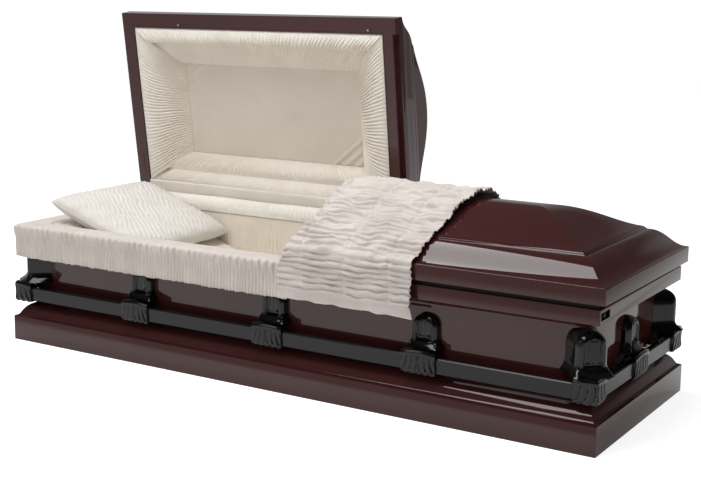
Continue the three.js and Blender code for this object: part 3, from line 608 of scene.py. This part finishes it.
def castings():
    """Six arms with clasps on the long sides, one pair on each end and one at every corner."""
    shares = np.linspace(-1, 1, 72)
    spots = [(f"{side}_", f"_{i + 1}", (x, sy * WALL_Y), (0, sy), BAR_Y - WALL_Y)
             for side, sy in (("front", -1), ("rear", 1)) for i, x in enumerate((-0.520, 0.0, 0.520))]
    spots += [(f"{end}_end_", "", (sx * WALL_X, 0.0), (sx, 0), BAR_X - WALL_X)
              for end, sx in (("head", -1), ("foot", 1))]
    for lead, tail, origin, out, outer in spots:
        rings = arm(origin, out, 0.042, 0.027, outer - 0.004, 0.097, GAP)
        loop(lead + "bracket" + tail, rings, CASTING, "root", closed=False, sharp=50,
             replaces=[lead + "arm" + tail])
        n, z = clasp_rings(shares, outer)
        rings = placed(origin, out, shares[:, None] * 0.054 + 0 * n, n, z)
        loop(lead + "leaf_clasp" + tail, rings, CASTING, "root", closed=False, sharp=50,
             replaces=[lead + "clasp" + tail])
    for ex, x_name in ((-1, "head"), (1, "foot")):
        for ey, y_name in ((-1, "front"), (1, "rear")):
            key = f"{x_name}_{y_name}_corner_"
            out = (ex * math.sqrt(0.5), ey * math.sqrt(0.5))
            reach = (BAR_X - WALL_X + BAR_Y - WALL_Y) * math.sqrt(0.5) - 0.004
            rings = arm((ex * WALL_X, ey * WALL_Y), out, 0.046, 0.037, reach, 0.119, -0.046)
            wall = np.maximum(np.abs(rings[..., 0]) - WALL_X, np.abs(rings[..., 1]) - WALL_Y)
            push = np.maximum(0, GAP - wall)
            near_x = np.abs(rings[..., 0]) - WALL_X > np.abs(rings[..., 1]) - WALL_Y
            rings[..., 0] += ex * push * near_x
            rings[..., 1] += ey * push * ~near_x
            loop(key + "bracket", rings, CASTING, "root", closed=False, sharp=50,
                 replaces=[key + "arm"])
            n, z = clasp_rings(shares, 0.0)
            s = shares[:, None]
            x = BAR_X + n - np.where(s < 0, -s * (0.062 + n), 0)
            y = BAR_Y + n - np.where(s > 0, s * (0.062 + n), 0)
            loop(key + "leaf_clasp", np.stack([ex * x, ey * y, z], -1), CASTING, "root",
                 closed=False, sharp=50, replaces=[key + "clasp"])


# Cloth

def cloth(name, points, mat, body, thickness, replaces):
    """A grid of points as a sheet of cloth with its thickness laid on outside."""
    piece = make(name, points, net(*points.shape[:2]), mat, body, replaces=replaces)
    layer = piece.modifiers.new("thickness", "SOLIDIFY")
    layer.thickness = thickness
    layer.offset = 1.0
    return piece


def throw():
    """Cloth over the foot lid. Its line rises from the front hem round the lid's softened section to
    behind the crown; folds run along X, one every 19 mm and 17 mm where it hangs, each bent and broken
    by smooth random surfaces, pinched at seams 150 mm apart and pressed flat in the hem band."""
    s = np.linspace(0, 1, 306)[:, None]
    w = np.linspace(0, 1, 150)[None]
    lid = lid_path(14)
    rise = np.clip(lid[:, 0] / (0.6 * LID_Y), 0, 1)
    half = np.stack([-(LID_Y - lid[:, 0]) - 0.006 * (1 - rise),
                     lid[:, 1] + 0.0035 + 0.014 * rise ** 2], -1)[3:]
    front = np.vstack([[[-0.3472, 0.2975], [-0.3472, 0.40], [-0.348, 0.45]], half])
    path = softened(np.vstack([front, half[::-1] * (-1, 1)]), 0.007)
    here, _, length = follow(path, np.linspace(0, 1, 600))
    x_cut = 0.104 + 0.421 * w
    stop = np.interp(0.257, here[300:, 0], np.linspace(0, 1, 600)[300:])
    kept = 0.62
    share = np.where(s < kept, s, kept + (s - kept) * (
        1 - (1 - stop) / (1 - kept) * (1 - smooth(x_cut, 0.1085, 0.1125))))
    here, facing, length = follow(path, share)
    a = share * length
    spread = 0.035 * (1 - (here[..., 0] / LID_Y) ** 2).clip(0)
    left = THROW_HEM + 0.026 * smooth(a, 0.09, 0.16) + 0.028 * smooth(a, 0.16, 0.27)
    left = left + 0.0030 * wander(a, 3, 0.022)
    right = THROW_EDGE + spread + 0.005 * wander(a, 4, 0.028)
    x = left + w * (right - left)
    hang = 1 - smooth(a, 0.14, 0.20)
    bend = (3.4 - 1.6 * hang) * noise2(a / 0.034, x / (0.052 + 0.03 * hang), 5)
    bend = bend + (1.6 - 0.4 * hang) * noise2(a / 0.020, x / 0.030, 6)
    fold = ridge(2 * PI * a / (0.0190 - 0.002 * hang) + bend, 1.35)
    strong = 0.60 + 0.40 * noise2(a / 0.020, x / 0.040, 7)
    seam = 1 - 0.4 * np.exp(-(((x - THROW_HEM + 0.004 * wander(a, 9, 0.03)) % 0.150 - 0.075) / 0.006) ** 2)
    crown = np.clip((here[..., 1] - 0.44) / 0.12, 0, 1)
    hem = smooth(a, 0.020, 0.038)
    out = (0.0140 + 0.0030 * crown + 0.0040 * hang) * fold * strong * seam * hem
    fine = ridge(2 * PI * a / 0.0072 + 2.2 * noise2(a / 0.016, x / 0.030, 12), 1.2)
    crinkle = 0.0016 * noise2(a / 0.012, x / 0.016, 8) + (0.0012 + 0.0012 * hang) * fine * (1.2 - fold)
    out = out + crinkle * hem
    sway = 0.0035 * (1 + noise2(0 * a, x / 0.055, 10)) * (1 - smooth(a, 0, 0.09))
    drop = 0.003 * wander(x, 11, 0.030) * (1 - smooth(a, 0, 0.03))
    drop = drop - 0.004 * (x - THROW_HEM) / (THROW_EDGE - THROW_HEM) * (1 - smooth(a, 0, 0.05))
    y = here[..., 0] + facing[..., 0] * out - sway
    z = here[..., 1] + facing[..., 1] * out + drop
    piece = cloth("foot_throw", np.stack([x, y, z], -1), THROW, "foot_lid", 0.0012,
                  ["lid_throw"])
    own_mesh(piece)


def skirt():
    """Overlay on the front rim and head end. Its section starts at the inner edge, crosses the rim and
    hangs to a ruffled hem; along the rim it stands out in scallops 27 mm apart under the rim's edge
    and in fine pleats 12 mm apart below, both lower where the throw lies over it."""
    hx, hy, r = WALL_X + FLANGE_OUT + 0.0035, WALL_Y + FLANGE_OUT + 0.0035, 0.012
    first, turn, last = SKIRT_END + hx - r, r * PI / 2, hy - r + 0.254
    a = np.linspace(0, first + turn + last, 1060)[:, None]
    angle = -PI / 2 - np.clip(a - first, 0, turn) / r
    nx, ny = np.cos(angle), np.sin(angle)
    line_x = SKIRT_END - np.clip(a, 0, first) + r * nx
    line_y = -hy + r + np.clip(a - first - turn, 0, None) + r * ny
    section = softened([[-0.0785, 0.3915], [-0.0775, 0.3990], [-0.068, 0.4008], [-0.008, 0.4012],
                        [-0.001, 0.3985], [0, 0.392], [0.0012, 0.36], [0.0015, 0.292]], 0.0018)
    here, _, _ = follow(section, np.linspace(0, 1, 40)[None])
    n, z = here[..., 0], here[..., 1]
    hang = smooth(n, -0.006, 0.0005)
    low = 1 - smooth(z, 0.290, 0.345)
    count = a / 0.027 + 0.22 * wander(a, 21, 0.06)
    scallop = ridge(2 * PI * count, 1.2)
    zone = smooth(z, 0.352, 0.388) * hang
    phase = 2 * PI * a / 0.0122 + 1.9 * wander(a, 22, 0.03) + 1.0 * noise2(a / 0.03, z / 0.03, 23)
    pleat = 0.5 + 0.5 * np.sin(phase)
    out = 0.0100 * scallop * zone + 0.0062 * pleat * hang * (0.5 + 0.5 * (1 - zone))
    out = out * (0.35 + 0.65 * smooth(a, 0.025, 0.055))
    out = out + 0.0045 * (1 + wander(a, 24, 0.024)) * 0.5 * low * hang + 0.0015 * hang
    n = n + out
    z = z + 0.0022 * wander(a, 25, 0.013) * low ** 2
    z = z + 0.0010 * scallop * smooth(n, -0.03, -0.005) * (1 - hang)
    flat = 0.0006 * noise2(a / 0.012, n / 0.02, 26) * (1 - hang)
    x = np.maximum(line_x + nx * n, -hx - n)
    y = np.where(a > first, np.maximum(line_y + ny * n, -hy - n), line_y + ny * n)
    cloth("rim_overlay", np.stack([x, y, z + flat], -1), SKIRT, "root", 0.0008, ["rim_skirt"])


def rear_roll():
    """Stuffed roll on the rear rim: a rounded section along X with gathers 16.5 mm apart round it."""
    x = np.linspace(-LINE_X, SPLIT - 0.0055, 430)[:, None]
    share = np.array([[0, 0], [-0.02, 0.45], [0.1, 0.82], [0.33, 0.99], [0.62, 1], [0.86, 0.88],
                      [0.98, 0.62], [1.02, 0.3], [1, 0], [0.5, 0], [0, 0]])
    section = softened(share * (ROLL_WIDE, ROLL_HIGH) + (0.2562, RIM_TOP), 0.004, 64)[:-1]
    here, facing, _ = follow(np.vstack([section, section[:1]]), np.linspace(0, 1, 40)[None])
    above = smooth(here[..., 1], 0.402, 0.412)
    swell = 0.0036 * ridge(2 * PI * x / 0.0165 + 1.4 * wander(x, 31, 0.05), 1.2)
    swell = swell + 0.0016 * wander(x, 32, 0.08)
    out = swell * above - 0.002 * above
    y, z = here[..., 0] + facing[..., 0] * out, here[..., 1] + facing[..., 1] * out
    rings = np.stack([x + 0 * y, y, z], -1)[:, :-1]
    piece = loop("stuffed_roll", rings, ROLL, "root", closed=False, sharp=60,
                 replaces=["rear_roll"])
    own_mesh(piece)


def wall_lining(name, start, run, length, node_name):
    """Shirred wall padding: an upright slab along a straight line whose inner face bellies out and is
    gathered into upright pleats about 16 mm apart, tight at top and foot."""
    a = np.linspace(0, length, int(length / 0.0035))[:, None]
    z = np.concatenate([np.linspace(0.0016, 0.18, 5), np.linspace(0.2, 0.397, 26)])[None]
    belly = np.sin(PI * np.clip((z - 0.16) / 0.238, 0, 1)) ** 0.6
    phase = 2 * PI * a / 0.0155 + 1.8 * wander(a, 41, 0.05) + 1.1 * noise2(a / 0.03, z / 0.05, 42)
    pleat = ridge(phase, 1.5) * (0.75 + 0.25 * wander(a, 43, 0.04))
    out = 0.0085 + belly * (0.0025 + 0.0042 * pleat)
    inward = np.array([-run[1], run[0]])
    rings = []
    for n, level in ((out, z), (0.0006 + 0 * out, z)):
        rings.append(np.stack([start[0] + run[0] * a + inward[0] * n, start[1] + run[1] * a + inward[1] * n,
                               level + 0 * n], -1))
    rings = np.concatenate([rings[0], rings[1][:, ::-1]], 1)
    piece = loop(name, rings, WALL_CLOTH, "root", closed=False, sharp=60, replaces=[node_name])


def bed():
    """Mattress under its cloth: flat, sloped up to the head, with crosswise gathers 34 mm apart that
    wander, and rounded long edges."""
    x = np.linspace(0.003 - LINE_X, LINE_X - 0.003, 520)[:, None]
    y = np.linspace(-BED_HALF, BED_HALF, 90)[None]
    head = LINING + 0.003 - OPEN_X + BED_FLAT
    foot = head + BED_RISE / math.tan(BED_SLOPE)
    level = BED_LOW + BED_RISE * (1 - np.clip((x - head) / (foot - head), 0, 1))
    level = level[:, 0]
    bell = np.exp(-0.5 * (np.arange(-12, 13) / 5.0) ** 2)
    level = np.convolve(np.pad(level, 12, mode="edge"), bell / bell.sum(), "valid")[:, None]
    fold = ridge(2 * PI * x / 0.034 + 2.0 * noise2(x / 0.08, y / 0.07, 51), 1.4)
    edge = np.minimum(BED_HALF - np.abs(y), 0.02) / 0.02
    z = level - 0.010 * (1 - np.sqrt(1 - (1 - edge) ** 2)) - 0.004 + 0.004 * fold * smooth(edge, 0.2, 1)
    pad = lambda v: np.pad(v + 0 * z, 1, mode="edge")
    gx, gy, gz = pad(x), pad(y), pad(z)
    gz[[0, -1]] = gz[:, [0, -1]] = 0.0016
    rows, columns = gx.shape
    index = np.arange(rows * columns).reshape(rows, columns)
    rim = np.concatenate([index[0], index[1:, -1], index[-1, -2::-1], index[-2:0:-1, 0]])
    faces = net(rows, columns).tolist() + [rim.tolist()]
    piece = make("mattress", np.stack([gx, gy, gz], -1), faces, PUFF, "root", replaces=["bed"])
    outward(piece).data.set_sharp_from_angle(angle=math.radians(60))


def pillow():
    """Stuffed cushion on the bed's slope: two bellied faces that meet at a seam, the upper one with
    short slanting pleats 17.5 mm apart in rows and a fold from its front upper corner."""
    u = np.linspace(-1, 1, 150)[:, None]
    v = np.linspace(-1, 1, 130)[None]
    swell = ((1 - np.abs(u) ** 7) * (1 - np.abs(v) ** 7)).clip(0) ** 0.5
    px, py = PILLOW_LONG * u + 0 * v, PILLOW_WIDE * v + 0 * u
    slant = (0.82 * py + 0.57 * px) / 0.0175
    across = 2 * PI * (0.57 * py - 0.82 * px) / 0.060 + 1.2 * noise2(px / 0.08, py / 0.08, 61)
    rows_of = 0.5 + 0.5 * np.sin(across)
    pleat = ridge(2 * PI * slant + 2.6 * noise2(px / 0.045, py / 0.05, 62), 1.4)
    crease = np.exp(-((py + 0.10 - 0.35 * (px + 0.12)) / 0.010) ** 2) * smooth(px, -0.20, -0.08)
    dent = 0.010 * np.exp(-(px / 0.12) ** 2 - (py / 0.10) ** 2)
    top = 0.042 * swell + swell * (0.0082 * pleat * (0.45 + 0.55 * rows_of) - 0.004 * crease - 0.0070) - dent
    under = -0.0395 * swell
    cos, sin, tan = math.cos(BED_SLOPE), math.sin(BED_SLOPE), math.tan(BED_SLOPE)
    x0 = -OPEN_X + LINING + 0.002 + PILLOW_LONG * cos
    foot = -OPEN_X + LINING + 0.003 + BED_FLAT + BED_RISE / tan
    z0 = BED_LOW + (foot - x0) * tan + 0.041 / cos
    faces, points = [], []
    for k, h in enumerate((top, under)):
        x = x0 + px * cos + h * sin
        z = z0 - px * sin + h * cos
        points.append(np.stack([x, py, z], -1).reshape(-1, 3))
        faces += (net(150, 130) + k * 150 * 130).tolist()
    piece = make("cushion", np.concatenate(points), faces, PILLOW, "root",
                 replaces=["pillow"])
    outward(piece)
    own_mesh(piece)


# Lining of the open lid, worked out for the closed lid and then turned

def border(edge, long_way):
    """One puffed border between the lip and the panel, its ends on the mitre. Its section from the lip
    is a sine belly or two of them end to end. The front one is a gathered roll and a shirred band, the
    rear one a shirred foot and a broad gathered roll; the others have wavy pleats 16.5 mm apart right
    across."""
    s = np.linspace(0, 1, 44)[None]
    w = np.linspace(0, 1, 470 if long_way else 250)[:, None]
    t0, z0 = HEADER_IN + 0.002, LID_LOW + 0.003
    dt, dz = PANEL_IN - t0, PANEL_DEEP - 0.003
    size = math.hypot(dt, dz)
    along = w * ((LID_HEAD_X + SPLIT) if long_way else 2 * LID_Y)
    ends = smooth(w, 0, 0.04) * smooth(1 - w, 0, 0.04)
    if edge == "front":
        roll, band = np.sin(PI * np.clip(s / 0.4, 0, 1)), np.sin(PI * np.clip((s - 0.4) / 0.6, 0, 1))
        belly = 0.024 * roll ** 0.7 + 0.014 * band ** 0.8
        big = ridge(2 * PI * along / 0.0175 + 2 * wander(along, 71, 0.05) + 4.0 * s, 1.4) * roll
        fine = ridge(2 * PI * along / 0.0122 + 1.6 * wander(along, 72, 0.03), 1.2) * smooth(s, 0.38, 0.45)
        out = belly + 0.0075 * big + 0.0040 * fine * (1 - smooth(s, 0.6, 1.0) * 0.4)
    elif edge == "rear":
        foot, roll = np.sin(PI * np.clip(s / 0.42, 0, 1)), np.sin(PI * np.clip((s - 0.4) / 0.6, 0, 1))
        belly = 0.010 * foot + 0.028 * roll ** 0.7
        fine = ridge(2 * PI * along / 0.0105 + 1.6 * wander(along, 73, 0.03), 1.3)
        fine = fine * (1 - smooth(s, 0.36, 0.46))
        wave = 2.2 * noise2(along / 0.05, s / 0.3, 74) + 3.0 * s
        soft = ridge(2 * PI * along / 0.0185 + wave, 1.4) * smooth(s, 0.42, 0.55) * smooth(1 - s, 0, 0.08)
        out = belly + 0.0038 * fine + 0.0062 * (soft - 0.3)
    else:
        belly = 0.026 * np.sin(PI * s ** 0.75)
        wave = 1.5 * np.sin(2 * PI * s * 0.9 + 0.7) + 1.0 * wander(along, 75, 0.05)
        wave = wave + 0.8 * noise2(along / 0.04, s / 0.25, 76)
        pleat = ridge(2 * PI * along / 0.0165 + wave, 1.4) - 0.4
        out = belly + 0.0095 * pleat * np.sin(PI * s) ** 0.45 * ends
    t = t0 + s * dt + out * dz / size
    z = z0 + s * dz - out * dt / size
    back_s = np.linspace(1, 0, 8)[None]
    t = np.concatenate([t, t0 + back_s * dt + 0 * w], 1)
    z = np.concatenate([z, z0 + back_s * dz + 0.009 + 0 * w], 1)
    x0, x1 = -LID_HEAD_X + t, SPLIT - t - REBATE * smooth(t, HEADER_IN, PANEL_IN)
    front = t - LID_Y
    rear = LID_Y - (HEADER_IN + (t - HEADER_IN) * (PANEL_REAR - HEADER_IN) / (PANEL_IN - HEADER_IN))
    ax, ay, bx, by = {"front": (x0, front, x1, front), "foot": (x1, front, x1, rear),
                      "rear": (x1, rear, x0, rear), "head": (x0, rear, x0, front)}[edge]
    rings = opened(np.stack([ax + w * (bx - ax), ay + w * (by - ay), z], -1))
    piece = loop(edge + "_border", rings, PUFF, "head_lid", closed=False, sharp=60,
                 replaces=[edge + "_puff"])
    if edge == "front":
        board, above = opened(np.array([[0, 0, LID_LOW + PANEL_DEEP + 0.009], [0, 0, 1.0]]))
        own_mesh(piece)


def apron():
    """Shirred cloth from the rear border's lip down over the lower rail of the open lid: a sheet along X
    with pleats 10 mm apart across it."""
    x = np.linspace(-LID_HEAD_X + HEADER_IN + 0.002, SPLIT - REBATE - HEADER_IN - 0.002, 420)[:, None]
    t = np.linspace(0.006, 0.0575, 16)[None]
    pleat = ridge(2 * PI * x / 0.0105 + 1.6 * wander(x, 81, 0.03), 1.3)
    low = LID_LOW - 0.0022 - 0.0016 * pleat * smooth(t, 0.004, 0.02)
    low = low + 0.0035 * smooth(t, 0.0525, 0.0575)
    points = opened(np.stack([x + 0 * t, LID_Y - t + 0 * x, low], -1))
    cloth("hinge_apron", points, PUFF, "head_lid", 0.0004, [])


def cap_panel():
    """Flat covered board with three slanting tucks across its upper head corner and its lower foot
    corner."""
    t = PANEL_IN + 0.001
    x = np.linspace(-LID_HEAD_X + t, SPLIT - REBATE - t, 300)[:, None]
    y = np.linspace(t - LID_Y, LID_Y - PANEL_REAR - 0.0007, 150)[None]
    near = (x - x[0]) / 0.175 + (y - y[:, :1]) / 0.120
    far = (x[-1] - x) / 0.150 + (y[:, -1:] - y) / 0.120
    tucks = 0
    for d in (near, far):
        saw = (d * 3.2) % 1.0
        tucks = tucks + 0.0056 * np.exp(-((saw - 0.5) / 0.24) ** 2) * smooth(1.02 - d, 0, 0.02)
    z = LID_LOW + PANEL_DEEP - tucks
    low = opened(np.stack([x + 0 * z, y + 0 * z, z], -1))
    high = opened(np.stack([x + 0 * z, y + 0 * z, LID_LOW + PANEL_DEEP + 0.006 + 0 * z], -1))
    rows, columns = 300, 150
    count = rows * columns
    index = np.arange(count).reshape(rows, columns)
    rim = np.concatenate([index[0], index[1:, -1], index[-1, -2::-1], index[-2:0:-1, 0]])
    turn = np.roll(rim, -1)
    sides = np.stack([rim, turn, turn + count, rim + count], -1)
    faces = net(rows, columns).tolist() + sides.tolist() + [(rim[::-1] + count).tolist()]
    piece = make("covered_panel", np.concatenate([low.reshape(-1, 3), high.reshape(-1, 3)]), faces, PANEL,
                 "head_lid", replaces=["cap_panel"])
    outward(piece).data.set_sharp_from_angle(angle=math.radians(60))


def main():
    """Builds everything that is shown."""
    base_moulding()
    body_walls()
    sheet_lid("foot_lid", 1, SPLIT + SPLIT_GAP, "foot_lid")
    sheet_lid("head_lid", -1, SPLIT, "head_lid")
    header("foot_lid_header", 1, SPLIT + SPLIT_GAP, "foot_lid")
    header("head_lid_header", -1, SPLIT, "head_lid")
    castings()
    bed()
    wall_lining("rear_wall_lining", (LINE_X, OPEN_Y), (-1, 0), 2 * LINE_X, "rear_lining")
    wall_lining("front_wall_lining", (-LINE_X, -OPEN_Y), (1, 0), 2 * LINE_X, "front_lining")
    wall_lining("head_wall_lining", (-OPEN_X, LINE_Y), (0, -1), 2 * LINE_Y, "head_end_lining")
    wall_lining("foot_wall_lining", (OPEN_X, -LINE_Y), (0, 1), 2 * LINE_Y, "foot_end_lining")
    pillow()
    rear_roll()
    skirt()
    throw()
    for edge in ("front", "rear", "head", "foot"):
        border(edge, edge in ("front", "rear"))
    apron()
    cap_panel()
    for name, o in nodes.items():
        if o.hide_render:
            continue
        if "_bar" in name:
            mat = BAR
        # painted shade: the lock pocket gets the black casting finish to stand for the shade in the recess
        # behind the flange's hole
        elif name == "lock_pocket":
            mat = CASTING
        # the gasket is black rubber; the lock plug gets the same black as painted shade in the lock's recess
        elif name in ("gasket", "lock_plug"):
            mat = SEAL
        elif name == "stay_plate":
            mat = LACQUER
        else:
            mat = BARE
        o.data.materials.clear()
        o.data.materials.append(mat)


main()

# Floor, light and camera


def studio():
    """Pale floor in a white world that is darker overhead for shading, and for reflections darker
    overhead and towards the foot end, with soft boxes above and in front."""
    floor = bpy.data.meshes.new("floor")
    s = 14.0
    floor.from_pydata([(-s, -s, 0), (s, -s, 0), (s, s, 0), (-s, s, 0)], [], [(0, 1, 2, 3)])
    ground = bpy.data.objects.new("floor", floor)
    bpy.context.scene.collection.objects.link(ground)
    m, tree, shader = material("floor")
    shader.inputs["Base Color"].default_value = (0.86, 0.86, 0.86, 1)
    shader.inputs["Roughness"].default_value = 0.9
    shader.inputs["Specular IOR Level"].default_value = 0.1
    shader.inputs["Emission Color"].default_value = (1, 1, 1, 1)
    lit = tree.nodes.new("ShaderNodeLightPath")
    last = None
    for output, share in (("Is Camera Ray", 0.68), ("Is Glossy Ray", 0.20)):
        part = node(tree, "ShaderNodeMath", operation="MULTIPLY_ADD")
        tree.links.new(lit.outputs[output], part.inputs[0])
        part.inputs[1].default_value = share
        part.inputs[2].default_value = 0.10
        if last is not None:
            tree.links.new(last.outputs[0], part.inputs[2])
        last = part
    tree.links.new(last.outputs[0], shader.inputs["Emission Strength"])
    ground.data.materials.append(m)
    world = bpy.data.worlds.new("studio")
    bpy.context.scene.world = world
    world.use_nodes = True
    tree = world.node_tree
    coords = tree.nodes.new("ShaderNodeTexCoord")
    split = tree.nodes.new("ShaderNodeSeparateXYZ")
    tree.links.new(coords.outputs["Generated"], split.inputs["Vector"])
    soft = ramp(tree, split.outputs["Z"], [(0.0, (0.62, 0.62, 0.62)), (0.10, (0.60, 0.60, 0.60)),
                                           (0.30, (0.34, 0.34, 0.34)), (0.70, (0.22, 0.22, 0.22))])
    mirrored = ramp(tree, split.outputs["Z"], [(0.0, (0.42, 0.42, 0.42)), (0.20, (0.38, 0.38, 0.38)),
                                               (0.34, (0.07, 0.07, 0.07)), (0.70, (0.09, 0.09, 0.09))])
    path = tree.nodes.new("ShaderNodeLightPath")
    either = tree.nodes.new("ShaderNodeMix")
    either.data_type = "RGBA"
    tree.links.new(path.outputs["Is Diffuse Ray"], either.inputs[0])
    tree.links.new(soft, either.inputs[7])
    side = ramp(tree, split.outputs["X"], [(0.15, (1, 1, 1)), (0.55, (0.25, 0.25, 0.25))])
    dimmed = node(tree, "ShaderNodeVectorMath", operation="MULTIPLY")
    tree.links.new(mirrored, dimmed.inputs[0])
    tree.links.new(side, dimmed.inputs[1])
    tree.links.new(dimmed.outputs[0], either.inputs[6])
    mix = tree.nodes.new("ShaderNodeMix")
    mix.data_type = "RGBA"
    tree.links.new(path.outputs["Is Camera Ray"], mix.inputs[0])
    tree.links.new(either.outputs[2], mix.inputs[6])
    mix.inputs[7].default_value = (1.05, 1.05, 1.05, 1)
    tree.links.new(mix.outputs[2], tree.nodes["Background"].inputs["Color"])
    for name, at, to, size, power in (
            ("top_light", (-0.6, -0.5, 3.2), (0.1, 0.0, 0.4), (4.0, 1.5), 98),
            ("front_light", (-2.2, -3.6, 2.6), (0.0, 0.0, 0.4), (1.6, 1.0), 10)):
        light = bpy.data.lights.new(name, "AREA")
        light.shape = "RECTANGLE"
        light.size, light.size_y = size
        light.energy = power
        o = bpy.data.objects.new(name, light)
        o.location = at
        o.rotation_euler = (Vector(to) - Vector(at)).to_track_quat("-Z", "Y").to_euler()
        bpy.context.scene.collection.objects.link(o)
    bpy.context.scene.view_settings.view_transform = "Standard"


def camera():
    """The photograph's camera: azimuth, height and roll, its distance from a point over the base and
    the frame's small shift."""
    azimuth, height, roll = (math.radians(a) for a in (32.901, 10.752, 0.313))
    back = Vector((math.sin(azimuth) * math.cos(height), -math.cos(azimuth) * math.cos(height),
                   math.sin(height)))
    right = Vector((math.cos(azimuth), math.sin(azimuth), 0))
    up = back.cross(right)
    turned_right = right * math.cos(roll) + up * math.sin(roll)
    turned_up = up * math.cos(roll) - right * math.sin(roll)
    at = Vector((-0.04784, 0, 0.42325)) + back * 4.23832
    lens = bpy.data.cameras.new("camera")
    lens.sensor_width = 36.0
    lens.lens = 36.0 * 1317.19 / 701
    lens.shift_x = 35.486 / 701
    lens.shift_y = -9.012 / 701
    o = bpy.data.objects.new("camera", lens)
    bpy.context.scene.collection.objects.link(o)
    o.matrix_world = Matrix((
        (turned_right.x, turned_up.x, back.x, at.x),
        (turned_right.y, turned_up.y, back.y, at.y),
        (turned_right.z, turned_up.z, back.z, at.z),
        (0, 0, 0, 1)))
    bpy.context.scene.camera = o


studio()
camera()
